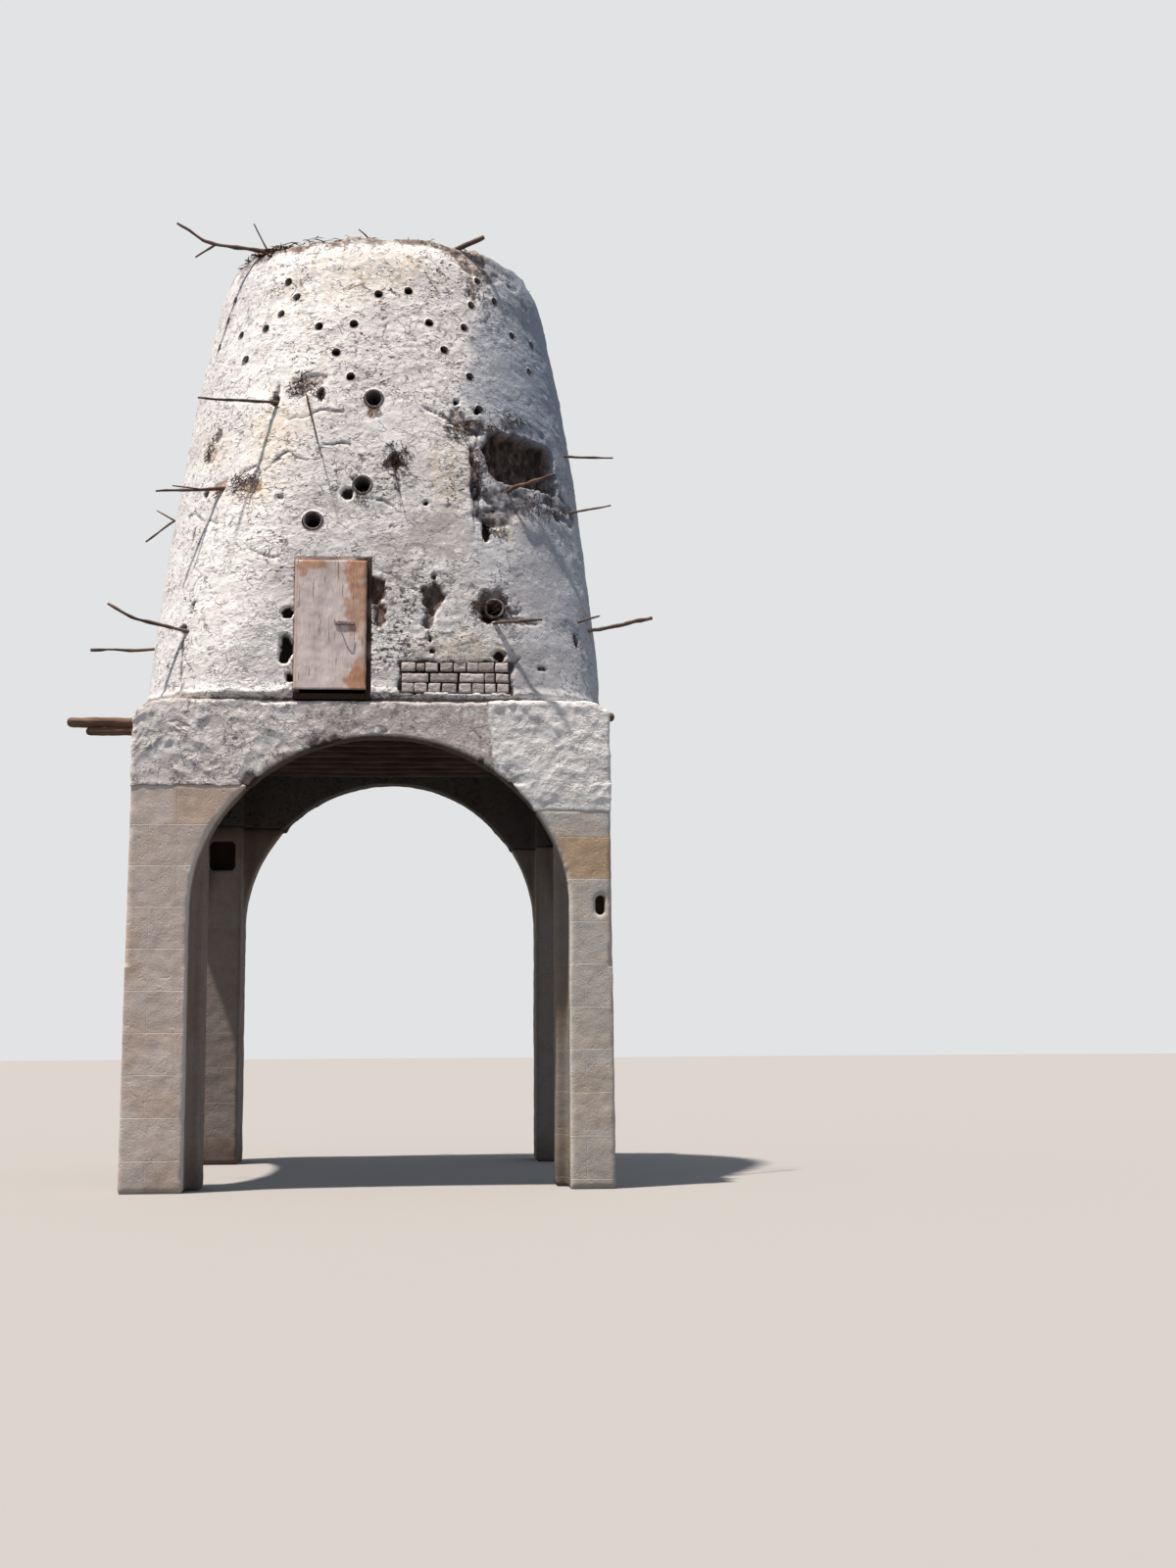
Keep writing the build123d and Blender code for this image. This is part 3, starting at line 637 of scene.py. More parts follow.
# Holes, dents and bare places on the front: x, height, width, height of it, depth, how dark, muddy and rusty
marks = [
    (-0.901, 5.893, 0.11, 0.10, 0.10, 1.0, 0.3, 0), (-0.905, 5.507, 0.13, 0.22, 0.13, 1.0, 0.4, 0),
    (-0.864, 5.207, 0.085, 0.09, 0.08, 1.0, 0.3, 0), (-1.906, 5.978, 0.06, 0.14, 0.06, 1.0, 0.3, 0),
    (0.03, 6.14, 0.17, 0.3, 0.03, 0.6, 0.9, 0.5), (0.06, 5.9, 0.13, 0.22, 0.025, 0.5, 0.7, 0.3),
    (0.61, 6.1, 0.2, 0.3, 0.045, 0.6, 0.8, 0.3), (0.56, 5.86, 0.1, 0.3, 0.035, 0.5, 0.6, 0.1),
    (0.582, 5.616, 0.05, 0.05, 0.05, 1.0, 0.3, 0), (0.603, 5.5, 0.04, 0.05, 0.04, 1.0, 0.3, 0),
    (1.304, 5.457, 0.13, 0.1, 0.06, 1.0, 0.5, 0), (1.174, 6.82, 0.09, 0.2, 0.07, 0.9, 0.6, 0),
    (-0.3, 7.19, 0.09, 0.16, 0.04, 0.8, 0.5, 0), (-0.2, 7.36, 0.2, 0.06, 0.02, 0.5, 0.4, 0),
    (-0.72, 8.45, 0.35, 0.25, 0.015, 0.1, 0.45, 0.1), (0.87, 8.05, 0.16, 0.3, 0.02, 0.25, 0.5, 0),
    (-1.32, 7.3, 0.25, 0.16, 0.012, 0, 0.5, 0.7), (0.53, 7.1, 0.05, 0.05, 0.04, 1.0, 0.3, 0),
    (1.74, 5.33, 0.11, 0.05, 0.012, 0.8, 0.3, 0), (-0.03, 8.11, 0.12, 0.16, 0.01, 0, 0.3, 0.9),
    (1.247, 5.963, 0.36, 0.34, 0.03, 0.15, 0.75, 0.1), (0.85, 8.29, 0.08, 0.07, 0.05, 1.0, 0.4, 0),
    (1.06, 8.2, 0.07, 0.06, 0.04, 0.9, 0.4, 0), (-1.078, 8.29, 0.1, 0.1, 0.05, 0.9, 0.4, 0),
    (-1.06, 8.4, 0.05, 0.2, 0.02, 0.6, 0.4, 0), (-1.83, 7.33, 0.1, 0.09, 0.05, 0.9, 0.5, 0.1),
    (-1.99, 5.77, 0.1, 0.1, 0.05, 0.9, 0.4, 0), (-0.59, 8.34, 0.07, 0.16, 0.03, 0.8, 0.4, 0),
    (-1.73, 7.99, 0.1, 0.2, 0.015, 0.5, 0.5, 0), (-1.8, 7.8, 0.2, 0.3, 0.01, 0, 0.4, 0.5),
    (0.2, 7.57, 0.12, 0.14, 0.03, 0.7, 0.6, 0), (-1.66, 7.36, 0.2, 0.18, 0.012, 0, 0.4, 0.7),
    (1.19, 5.9, 0.14, 0.22, 0.05, 0.9, 0.5, 0), (1.55, 5.83, 0.4, 0.08, 0.015, 0.3, 0.6, 0.3),
    (0.04, 6.0, 0.1, 0.36, 0.02, 0.3, 0.6, 0.3), (2.13, 5.74, 0.07, 0.16, 0.02, 0.8, 0.5, 0),
    (-1.95, 6.85, 0.06, 0.18, 0.015, 0.6, 0.4, 0), (-0.99, 7.16, 0.08, 0.07, 0.02, 0.5, 0.3, 0),
]
# Drying cracks on the front: x and height of the points along each
cracks = [
    [(-0.715, 8.26), (-0.67, 8.105), (-0.8, 8.06), (-0.94, 8.05)], [(-0.67, 8.1), (-0.52, 8.14), (-0.35, 8.12)],
    [(-1.17, 7.464), (-1.039, 7.592), (-0.927, 7.69), (-0.83, 7.594), (-0.716, 7.571)],
    [(-1.452, 7.488), (-1.27, 7.533), (-1.213, 7.468), (-1.278, 7.254), (-1.312, 7.086)],
    [(-2.05, 7.1), (-1.95, 7.14), (-1.883, 7.022), (-1.682, 6.938)],
    [(-0.568, 7.74), (-0.42, 7.755), (-0.266, 7.736)],
    [(0.664, 8.106), (0.86, 8.0), (1.076, 7.945), (1.013, 7.619), (1.03, 7.2), (1.046, 6.774)],
    [(0.2, 7.5), (0.25, 7.3), (0.27, 7.1)], [(0.5, 8.18), (0.7, 8.12), (0.8, 8.03)],
    [(-0.1, 7.15), (0.05, 7.12), (0.2, 7.06)], [(-1.3, 6.6), (-1.2, 6.52), (-1.05, 6.5)],
    [(0.6, 5.98), (0.57, 5.75), (0.59, 5.6)], [(1.42, 5.3), (1.5, 5.42)],
    [(-2.0, 5.75), (-1.98, 5.45), (-1.97, 5.1)], [(0.15, 5.0), (0.4, 5.02), (0.75, 5.01)],
]
# Washed-out mud round the fallen patch and at the rim: degrees right of the front, height, width, height of
# it, how dark
washed = [
    (36, 7.2, 0.75, 0.44, 0.45), (54, 7.28, 0.7, 0.36, 0.55), (25.6, 7.35, 0.1, 0.75, 0.8),
    (27.5, 8.0, 0.26, 0.2, 0.6), (43, 8.1, 0.8, 0.18, 0.35), (30, 6.98, 0.5, 0.24, 0.5),
    (20, 8.2, 0.16, 0.22, 0.3), (34, 10.1, 0.5, 0.2, 0.3), (50, 9.98, 0.5, 0.3, 0.35),
    (22, 10.12, 0.4, 0.12, 0.25), (38, 10.02, 0.9, 0.36, 0.4), (32, 9.7, 0.13, 0.5, 0.4),
    (37, 9.4, 0.1, 0.6, 0.35), (57, 9.6, 0.2, 0.5, 0.3),
]
brickPatch = {"x": (0.277, 1.415), "z": (5.05, 5.385), "depth": 0.028}


def inOvals(across, height, ovals, ragged, low, high):
    # How strongly each point lies in any of the ovals, falling from low to high times an oval's own size
    values = np.zeros(len(across))
    for middleAcross, middleHeight, wide, tall, strong in ovals:
        off = np.hypot((across - middleAcross) / (wide / 2), (height - middleHeight) / (tall / 2)) + ragged
        values = np.maximum(values, strong * (1 - smoothStep(low, high, off)))
    return values


def offAcross(angle, height, wide):
    # How far round the tower each point of its skin is from an angle, in halves of a width
    reach = float(reachAt(np.array(angle), height))
    return (angles.reshape(-1) - angle) * reach / (wide / 2)


wall = onTower(angles, heights)
ahead = np.roll(wall, -1, 1) - np.roll(wall, 1, 1)
ahead[:, 0] = wall[:, 1] - wall[:, 0]
ahead[:, -1] = ahead[:, 0]
above = np.gradient(wall, axis=0)
outward = np.cross(ahead, above)
outward /= np.linalg.norm(outward, axis=2)[..., None]
flat = wall.reshape(-1, 3)
x, y, z = flat.T
front = y < 0

# Coats of plaster: worked over, lapped and washed off, with painted light in some ovals
smooth = front * inOvals(x, z, tower["smooth"], 0.3 * roughness(flat, 0.25, 14, 3), 0.7, 1.1)
zoneEdge = 0.4 * roughness(flat, 0.25, 15, 3)
sandy, pitted, bright = (front * inOvals(x, z, tower[zone], zoneEdge, 0.5, 1.2)
                         for zone in ("sandy", "pitted", "bright"))
push = 0.005 * roughness(flat, 0.7, 1, 2) + 0.0035 * roughness(flat, 0.2, 4, 2)
workedOver = (0.3 + 0.7 * smoothStep(-0.3, 0.4, roughness(flat, 0.7, 9, 3))) * (1 - 0.8 * smooth)
push += workedOver * 0.003 * roughness(flat * (0.7, 0.7, 1), 0.06, 7, 2)
coats = roughness(flat * (1, 1, 1.5), 0.6, 11, 4)
for level, step in ((-0.35, 0.003), (0.05, 0.004), (0.45, 0.003)):
    push += step * smoothStep(level - 0.03, level + 0.03, coats)
mud = 0.22 * smoothStep(0.1, 0.7, roughness(flat, 0.9, 21, 4))
mud += 0.6 * smoothStep(9.98, tower["top"], z + 0.16 * bumps(flat, 0.3, 25))
shade = 0.14 * smoothStep(0.0, 0.8, roughness(flat * (1, 1, 0.5), 0.7, 31, 4))
# Painted shade on the right side, from a crooked line about 25 degrees right of the front
lineHeights, lineAngles = np.array(tower["shadeFrom"]).T
shadeAngle = np.radians(np.interp(z, lineHeights, lineAngles)) + 0.05 * roughness(flat, 0.3, 33, 4)
around = np.arctan2(x, -y)
rightSide = 0.6 * smoothStep(-0.05, 0.05, around - shadeAngle) + 0.4 * smoothStep(0, 0.5, around - shadeAngle)
rightSide *= (x > 0) * (0.68 + 0.32 * smoothStep(7, 8.4, z)) * (1 - smoothStep(2.0, 2.9, around))
# Painted shade on the lower front towards its right, and on the far left side
across = 0.18 * smoothStep(-0.7, 0.9, x) * (1 - smoothStep(7.2, 8.6, z)) * front
leftSide = 0.26 * smoothStep(0.48, 0.9, -around) * (1 - smoothStep(2.0, 2.9, -around))
shade = np.maximum(np.maximum(shade, across), np.maximum(rightSide, leftSide))
shade = shade * (1 - 0.8 * bright)
hollowShadeAndDirt, rust = np.zeros((2, len(flat)))
edgeNoise = roughness(flat, 0.09, 41, 3)
for markX, markZ, wide, tall, depth, dark, earthy, rusty in marks:
    near = np.hypot(offAcross(angleAt(markX, markZ), markZ, wide), (z - markZ) / (tall / 2)) + 0.42 * edgeNoise
    inside = 1 - smoothStep(0.86, 1.16, near)
    halo = 1 - smoothStep(0.9, 1.9, near)
    push -= depth * inside
    mud = np.maximum(mud, earthy * np.maximum(inside, 0.6 * halo))
    rust = np.maximum(rust, rusty * inside)
    # Painted shade in the deep holes, darker stain in the shallow dents
    hollowShadeAndDirt = np.maximum(hollowShadeAndDirt, dark * inside)

crackDepth = np.zeros(len(flat))
wander = 0.02 * np.stack([roughness(flat, 0.12, 45, 3), roughness(flat, 0.12, 48, 3)], 1)
spots = np.stack([x, z], 1) + wander
for points in cracks:
    for start, end in zip(points, points[1:]):
        start, run = np.array(start), np.array(end) - np.array(start)
        share = np.clip((spots - start) @ run / (run @ run), 0, 1)
        far = np.linalg.norm(spots - start - share[:, None] * run, axis=1)
        crackDepth = np.maximum(crackDepth, (1 - smoothStep(0.004, 0.02, far)) * front)
push -= 0.012 * crackDepth
# Painted shade in the cracks
hollowShadeAndDirt = np.maximum(hollowShadeAndDirt, 0.62 * crackDepth)

# The fallen patch at the right: a pocket with a steep edge down to its floor, dark inside with painted shade
recessAngle = math.radians(recess["angle"])
out = flat @ (math.sin(recessAngle), -math.cos(recessAngle), 0)
overX = np.abs(flat @ (math.cos(recessAngle), math.sin(recessAngle), 0)) / (recess["width"] / 2)
overZ = np.abs(z - recess["middle"]) / (recess["height"] / 2)
near = (overX ** 5 + overZ ** 5) ** (1 / 5) + (0.05 + 0.05 * (z > recess["middle"])) * roughness(flat, 0.14, 51, 3)
pocket = (1 - smoothStep(0.96, 1.02, near)) * (out > 1)
pocketDepth = np.maximum(out - recess["floor"], 0) + 0.02 * roughness(flat, 0.1, 53, 3)
push = push * (1 - pocket) - pocket * pocketDepth
mud = np.maximum(mud, np.maximum(pocket, 0.7 * (1 - smoothStep(1.0, 1.3, near)) * (out > 1)))
hollowShadeAndDirt = np.maximum(hollowShadeAndDirt, pocket * np.clip(0.66 + 0.09 * roughness(flat * (1, 1, 0.2), 0.07, 55, 3), 0, 1))
shade = shade * (1 - pocket)

washEdge = 0.3 * roughness(flat, 0.2, 57, 3)
clods = roughness(flat, 0.11, 59, 3)
for degreesRound, height, wide, tall, dark in washed:
    off = np.hypot(offAcross(math.radians(degreesRound), height, wide), (z - height) / (tall / 2))
    inside = 1 - smoothStep(0.7, 1.15, off + washEdge)
    push += (1 - pocket) * inside * (0.022 * clods - 0.02) * np.clip(2 * dark - 0.3, 0.15, 1)
    mud = np.maximum(mud, inside * np.clip(1.7 * dark - 0.15, 0.25, 1))
    # Painted shade between the clods
    hollowShadeAndDirt = np.maximum(hollowShadeAndDirt, inside * dark * np.clip(0.7 - 0.9 * clods, 0.15, 1))

# The bare brick patch, and the groove and lip at the tower's foot
patchX, patchZ = brickPatch["x"], brickPatch["z"]
overX = np.abs(x - sum(patchX) / 2) / ((patchX[1] - patchX[0]) / 2)
overZ = np.abs(z - sum(patchZ) / 2) / ((patchZ[1] - patchZ[0]) / 2)
near = np.maximum(overX + 0.05 * edgeNoise, overZ + 0.1 * edgeNoise)
bare = (1 - smoothStep(1.0, 1.06, near)) * front
push = push * (1 - bare) - brickPatch["depth"] * bare
mud = np.maximum(mud, bare)
hollowShadeAndDirt = np.maximum(hollowShadeAndDirt, 0.75 * bare)
lipAbove = np.exp(-((z - 5.06 - 0.02 * edgeNoise) / 0.035) ** 2)
groove = 1 - smoothStep(4.985, 5.03, z + 0.012 * edgeNoise)
push += 0.014 * lipAbove - 0.04 * groove
mud = np.maximum(mud, 0.7 * groove)
push += 0.02 * roughness(flat, 0.25, 61, 3) * smoothStep(10.0, tower["top"], z)

skin = wall + outward * push.reshape(wallRows, -1, 1)

# Rows over the rim and down inside it
rimRows = []
for inset, height in tower["rim"]:
    point = onTower(angles[-1], np.full(len(columnAngles), tower["top"]), inset)
    point[:, 2] = height
    lift = 0.028 * roughness(point, 0.3, 71, 3) + 0.012 * roughness(point, 0.09, 74, 2)
    point[:, 2] += lift
    point[:, :2] *= 1 + 0.25 * lift[:, None]
    rimRows.append(point)
skin = np.concatenate([skin, np.array(rimRows)], 0)
skin[:, -1] = skin[:, 0]
keptAll = np.concatenate([kept, np.ones((len(rimRows), kept.shape[1]), bool)], 0)
rimPoints = np.array(rimRows).reshape(-1, 3)
wallValues = {"dullCoatAndShadow": smooth, "sandy": sandy, "pitted": pitted, "bright": 0.5 * bright * (1 - mud), "mud": mud,
              "shade": shade, "hollowShadeAndDirt": hollowShadeAndDirt, "rust": rust}
rimValues = {"sandy": 0.3, "pitted": 0.4, "mud": 0.65 + 0.3 * roughness(rimPoints, 0.2, 77, 3), "shade": 0.1}
skinValues = {label: np.concatenate([values, rimValues.get(label, 0) + np.zeros(len(rimPoints))])
              for label, values in wallValues.items()}


def skinPiece(name, firstColumn, lastColumn, replaced):
    # One upright part of the skin with the linings of its openings
    columns = lastColumn - firstColumn + 1
    vertices = skin[:, firstColumn:lastColumn + 1].reshape(-1, 3)
    values = {label: data.reshape(len(skin), -1)[:, firstColumn:lastColumn + 1].reshape(-1)
              for label, data in skinValues.items()}
    rows, cells = np.nonzero(keptAll[:, firstColumn:lastColumn])
    corner = rows * columns + cells
    faces = np.stack([corner, corner + 1, corner + columns + 1, corner + columns], 1).tolist()
    extra, liningShade = [], []
    for ring in rings:
        if not all(firstColumn <= column <= lastColumn for row, column in ring["loop"]):
            continue
        ids = [row * columns + column - firstColumn for row, column in ring["loop"]]
        start = vertices[ids]
        axis = np.array(ring["axis"], float)
        before = ids
        # Painted shade, darker deeper into each opening
        for share, dark in ((0.04, 0.15), (0.2, 0.5), (0.55, 0.85), (1, 1)):
            fresh = [len(vertices) + len(extra) + place for place in range(len(ids))]
            extra += (start + axis * ring["depth"] * share).tolist()
            liningShade += [dark if ring["closed"] else 0.6 * dark] * len(ids)
            count = len(ids) if ring["closed"] else len(ids) - 1
            for place in range(count):
                after = (place + 1) % len(ids)
                faces.append([before[after], before[place], fresh[place], fresh[after]])
            before = fresh
    if extra:
        vertices = np.vstack([vertices, extra])
        linings = {"hollowShadeAndDirt": liningShade, "mud": [0.5] * len(extra)}
        for label in values:
            values[label] = np.concatenate([values[label], linings.get(label, [0] * len(extra))])
    makePiece(name, vertices, faces, towerPlaster, "tower_plaster", replaced, values)


ends = np.cumsum([0, frontColumns, sideColumns, backColumns, sideColumns])
for place, side in enumerate(("front", "right", "back", "left")):
    sides = [side] if place % 2 else [side, side + "_left", side + "_right"]
    skinPiece("tower_skin_" + side, ends[place], ends[place + 1],
              [f"tower_{part}_{lift}" for part in sides for lift in ("lower", "upper")])

# Inner face of the tower wall, left open at the holes, dark with painted shade
innerColumns = 220
innerAngles = np.linspace(0, 2 * math.pi, innerColumns, endpoint=False)
innerHeights = np.linspace(4.97, 9.99, 84)
innerPoints = onTower(*np.meshgrid(innerAngles, innerHeights), tower["wall"])
innerFaces = []
holesHere = [(angle + turn, height, radius + 0.04) for turn in (0, math.pi)
             for angle, height, radius, axis in openings]
for row in range(len(innerHeights) - 1):
    for column in range(innerColumns):
        point = innerPoints[row, column]
        inHatch = point[1] < 0 and hatchLeft < point[0] < hatchRight and point[2] < hatch["top"] - 0.05
        inHole = any(abs(height - point[2] - 0.03) < near
                     and abs((innerAngles[column] + 0.014 - angle + math.pi) % (2 * math.pi) - math.pi) * 1.8 < near
                     for angle, height, near in holesHere)
        if not (inHatch or inHole):
            start, after = row * innerColumns, (column + 1) % innerColumns
            innerFaces.append([start + after, start + column,
                               start + innerColumns + column, start + innerColumns + after])
makePiece("tower_inner_wall", innerPoints.reshape(-1, 3), innerFaces, darkMud, "tower_plaster")

# Entry pots, turned like the real ones with a thick rounded lip
potParts = []
for place, (potX, potZ, lip) in enumerate(pots["places"]):
    for sign in (-1, 1):
        vertices = []
        for radius, depth in pots["profile"]:
            for side in range(pots["sides"]):
                turn = 2 * math.pi * side / pots["sides"]
                vertices.append([radius * math.cos(turn) - sign * potX, sign * (lip - depth),
                                 potZ + radius * math.sin(turn)])
        vertices = np.array(vertices)
        spread = 1 + 0.03 * roughness(vertices + place, 0.08, 80 + place, 2)
        axis = (-sign * potX, potZ)
        vertices[:, [0, 2]] = axis + (vertices[:, [0, 2]] - axis) * spread[:, None]
        faces = [[corner % len(vertices) for corner in face][::-sign]
                 for face in bandFaces(len(pots["profile"]) + 1, pots["sides"])]
        potParts.append((vertices, faces))
makePiece("clay_pots", *joinParts(potParts), potClay, "fired_clay", ["entry_pots"])
print("tower done")


# Base: the solids joined and remeshed in small cells, then worn and plastered

def solidCopy(names):
    # Vertices and faces of the nodes' solids, where they stand
    parts = []
    for name in names:
        mesh = nodes[name].data
        points = np.empty(len(mesh.vertices) * 3)
        mesh.vertices.foreach_get("co", points)
        placed = np.array(nodes[name].matrix_world)
        points = points.reshape(-1, 3) @ placed[:3, :3].T + placed[:3, 3]
        parts.append((points, [list(face.vertices) for face in mesh.polygons]))
    return joinParts(parts)


def remeshed(vertices, faces, cell):
    # One closed surface of even quads round joined solids, with its normals
    source = bpy.data.meshes.new("cells")
    source.from_pydata(np.asarray(vertices).tolist(), [], faces)
    holder = addObject("cells", source)
    modifier = holder.modifiers.new("cells", "REMESH")
    modifier.mode = "VOXEL"
    modifier.voxel_size = cell
    shaped = bpy.data.meshes.new_from_object(holder.evaluated_get(bpy.context.evaluated_depsgraph_get()))
    points = np.empty(len(shaped.vertices) * 3)
    shaped.vertices.foreach_get("co", points)
    normals = np.empty(len(shaped.vertices) * 3)
    shaped.vertices.foreach_get("normal", normals)
    quads = [list(face.vertices) for face in shaped.polygons]
    bpy.data.objects.remove(holder)
    bpy.data.meshes.remove(source)
    bpy.data.meshes.remove(shaped)
    return points.reshape(-1, 3), quads, normals.reshape(-1, 3)


base = {
    "frontCell": 0.0165,
    "sideCell": 0.03,
    "stoneCell": 0.027,
    "top": 4.985,
    "face": 2.3,  # beyond it lie the walls' outer faces
    "room": 2.12,  # and within it their inner ones
    "stoneTops": (4.1, 3.85),  # where the plaster begins, left and right
    "arch": (0.09, 1.93, 2.82, 1.78),  # middle, half the width, foot and rise of the front arch
    "proud": 0.004,
    "swirl": 0.0095,
    "lump": 0.0085,
    "shoulder": 0.2,
    "leftZone": -0.74,
    "rightZone": 1.2,
    "lumps": ((1.29, 4.93, 0.07), (1.43, 4.95, 0.06), (1.57, 4.93, 0.08)),
}
archMiddle, archHalf, archSpring, archRise = base["arch"]


def offArch(x, z):
    # 0 on the edge of the front arch, above 0 outside it
    return np.hypot((x - archMiddle) / archHalf, (z - archSpring) / archRise) - 1


def shoulderDrop(points):
    # The base's top corners are washed away, the left one the most
    x, y, z = points.T
    deep = np.where(x < 0, base["shoulder"], 0.5 * base["shoulder"]) * (1 + 0.35 * bumps(points, 0.35, 91))
    atCorner = np.clip((np.abs(x) - 2.22) / 0.23, 0, 1) ** 1.6 * (0.5 + 0.5 * smoothStep(1.2, 2.2, np.abs(y)))
    return deep * np.clip(atCorner, 0, 1) * smoothStep(4.3, 4.98, z)


def plasterBase(name, names, cell):
    points, quads, normals = remeshed(*solidCopy(names), cell)
    x, y, z = points.T
    outside = np.maximum(np.abs(x), np.abs(y)) > base["face"]
    facing = smoothStep(0.3, 0.8, -normals[:, 1]) * (y < -base["face"])
    bend = points + 0.11 * np.stack([bumps(points, 0.3, 101 + axis) for axis in range(3)], 1)
    ridges = (1 - np.abs(bumps(bend * (1, 1, 1.3), 0.22, 105))) ** 3
    ridges = ridges + 0.6 * (1 - np.abs(bumps(bend * (1.2, 1, 1), 0.13, 106))) ** 4
    lumps = roughness(points, 0.13, 108, 2)
    broad = roughness(points, 0.6, 111, 2)
    edge = 0.05 * roughness(points, 0.2, 114, 3)
    leftZone = 1 - smoothStep(-0.09, 0.09, x - base["leftZone"] + edge)
    curve = base["rightZone"] + 0.12 * np.clip(4.72 - z, 0, 1) + 0.3 * edge
    rightZone = smoothStep(-0.008, 0.014, x - curve)
    midZone = 1 - np.maximum(leftZone, rightZone)
    push = base["proud"] + 0.003 * broad + 0.002 * lumps
    push += leftZone * (base["swirl"] * (ridges - 0.5) + 0.002 * lumps)
    push += rightZone * (0.006 + base["lump"] * (0.5 * np.maximum(lumps, -0.5) + 0.8 * (ridges - 0.5)))
    push += midZone * 0.002 * lumps
    # A ring drawn in the wet plaster at the left, and three lumps under the hatch's right
    ring = np.hypot(x + 1.984, z - 4.637) - 0.235
    push += 0.0045 * np.exp(-(ring / 0.025) ** 2) * facing * (0.6 + 0.4 * lumps)
    for lumpX, lumpZ, wide in base["lumps"]:
        far = np.hypot(x - lumpX, z - lumpZ) / wide + 0.3 * lumps
        push += 0.012 * np.clip(1 - far ** 2, 0, 1) * facing
    stoneTop = np.where(x < 0, *base["stoneTops"])
    push = push * np.where(outside, smoothStep(-0.01, 0.14, z - stoneTop), 1)
    push += 0.002 * np.exp(-((z - stoneTop - 0.03) / 0.03) ** 2) * outside
    push -= 0.02 * smoothStep(4.93, 4.97, z + 0.3 * edge) * outside * (1 - smoothStep(1.1, 1.3, np.abs(x)) * 0.6)
    # Chips along the arch's edge
    nearArch = np.exp(-(offArch(x, z) / 0.05) ** 2) * (z > archSpring) * (y < -base["face"])
    chips = smoothStep(0.15, 0.6, roughness(points, 0.16, 117, 3))
    push -= 0.02 * nearArch * chips
    push = np.where(outside, push, 0.006 * broad + 0.004 * lumps)
    # The lowest edge hangs a little over the stone, so that no open joint is left
    hanging = outside * (1 - smoothStep(stoneTop + 0.005, stoneTop + 0.05, z)) * (z > stoneTop - 0.05)
    push = push + 0.004 * hanging
    moved = points + normals * push[:, None]
    moved[:, 2] -= shoulderDrop(points) + 0.022 * hanging * (1 + 0.7 * bumps(points, 0.1, 119))
    moved[:, 2] = np.minimum(moved[:, 2], base["top"])
    # Painted shade inside the room and on the arches' soffits
    inside = np.maximum(np.abs(x), np.abs(y)) < base["room"]
    soffit = smoothStep(0.1, 0.35, -normals[:, 2]) * (z < 4.75)
    soffit *= 1 - smoothStep(2.42, 2.45, np.maximum(np.abs(x), np.abs(y)))
    # Painted shadow on the middle of the front under the tower's bulge, greyer with dark streaks; painted light on
    # its right
    values = {
        "dullCoatAndShadow": (0.8 * midZone + 0.1 * leftZone) * (y < 0),
        "bright": rightZone * (0.75 + 0.25 * lumps),
        "mud": 0.3 * smoothStep(0.1, 0.7, roughness(points, 0.5, 121, 4)) * outside
        + 0.75 * nearArch * chips + 0.5 * smoothStep(4.94, 4.97, z) * outside,
        "shade": 0.95 * np.maximum(inside, soffit),
        "rust": 0.5 * smoothStep(0.35, 0.8, roughness(points * (1, 1, 0.4), 0.4, 123, 3)) * nearArch,
        "hollowShadeAndDirt": 0.3 * midZone * outside * smoothStep(0.45, 0.8, roughness(points * (1, 1, 0.4), 0.12, 125, 3)),
        "sandy": 0.25 * smoothStep(0.1, 0.7, roughness(points, 0.3, 127, 3)) * outside,
        "pitted": np.where(outside, -0.9 + 1.4 * midZone + 0.5 * smoothStep(4.75, 4.95, z), 0),
    }
    makePiece(name, moved, quads, basePlaster, "base_plaster", names, values)


for side in ("front", "back", "left", "right"):
    corners = [f"{side}_{hand}_corner" for hand in ("left", "right") if side in ("front", "back")]
    cell = base["frontCell"] if side == "front" else base["sideCell"]
    plasterBase("plaster_" + side, [side + "_arch_wall"] + corners, cell)


# Places on the piers: the ends along x, y and z of the redder block, of the slot and of the niche
pierPlaces = {
    "redBlock": ((1.9, 9), (-9, -2.2), (3.124, 3.555)),
    "slot": ((2.267, 2.397), (-2.438, -2.2), (2.735, 2.985)),
    "niche": ((-2.175, -1.775), (1.75, 2.3), (3.525, 3.925)),
}


def isIn(points, place):
    low, high = np.array(pierPlaces[place]).T
    return np.all((points > low) & (points < high), axis=1)


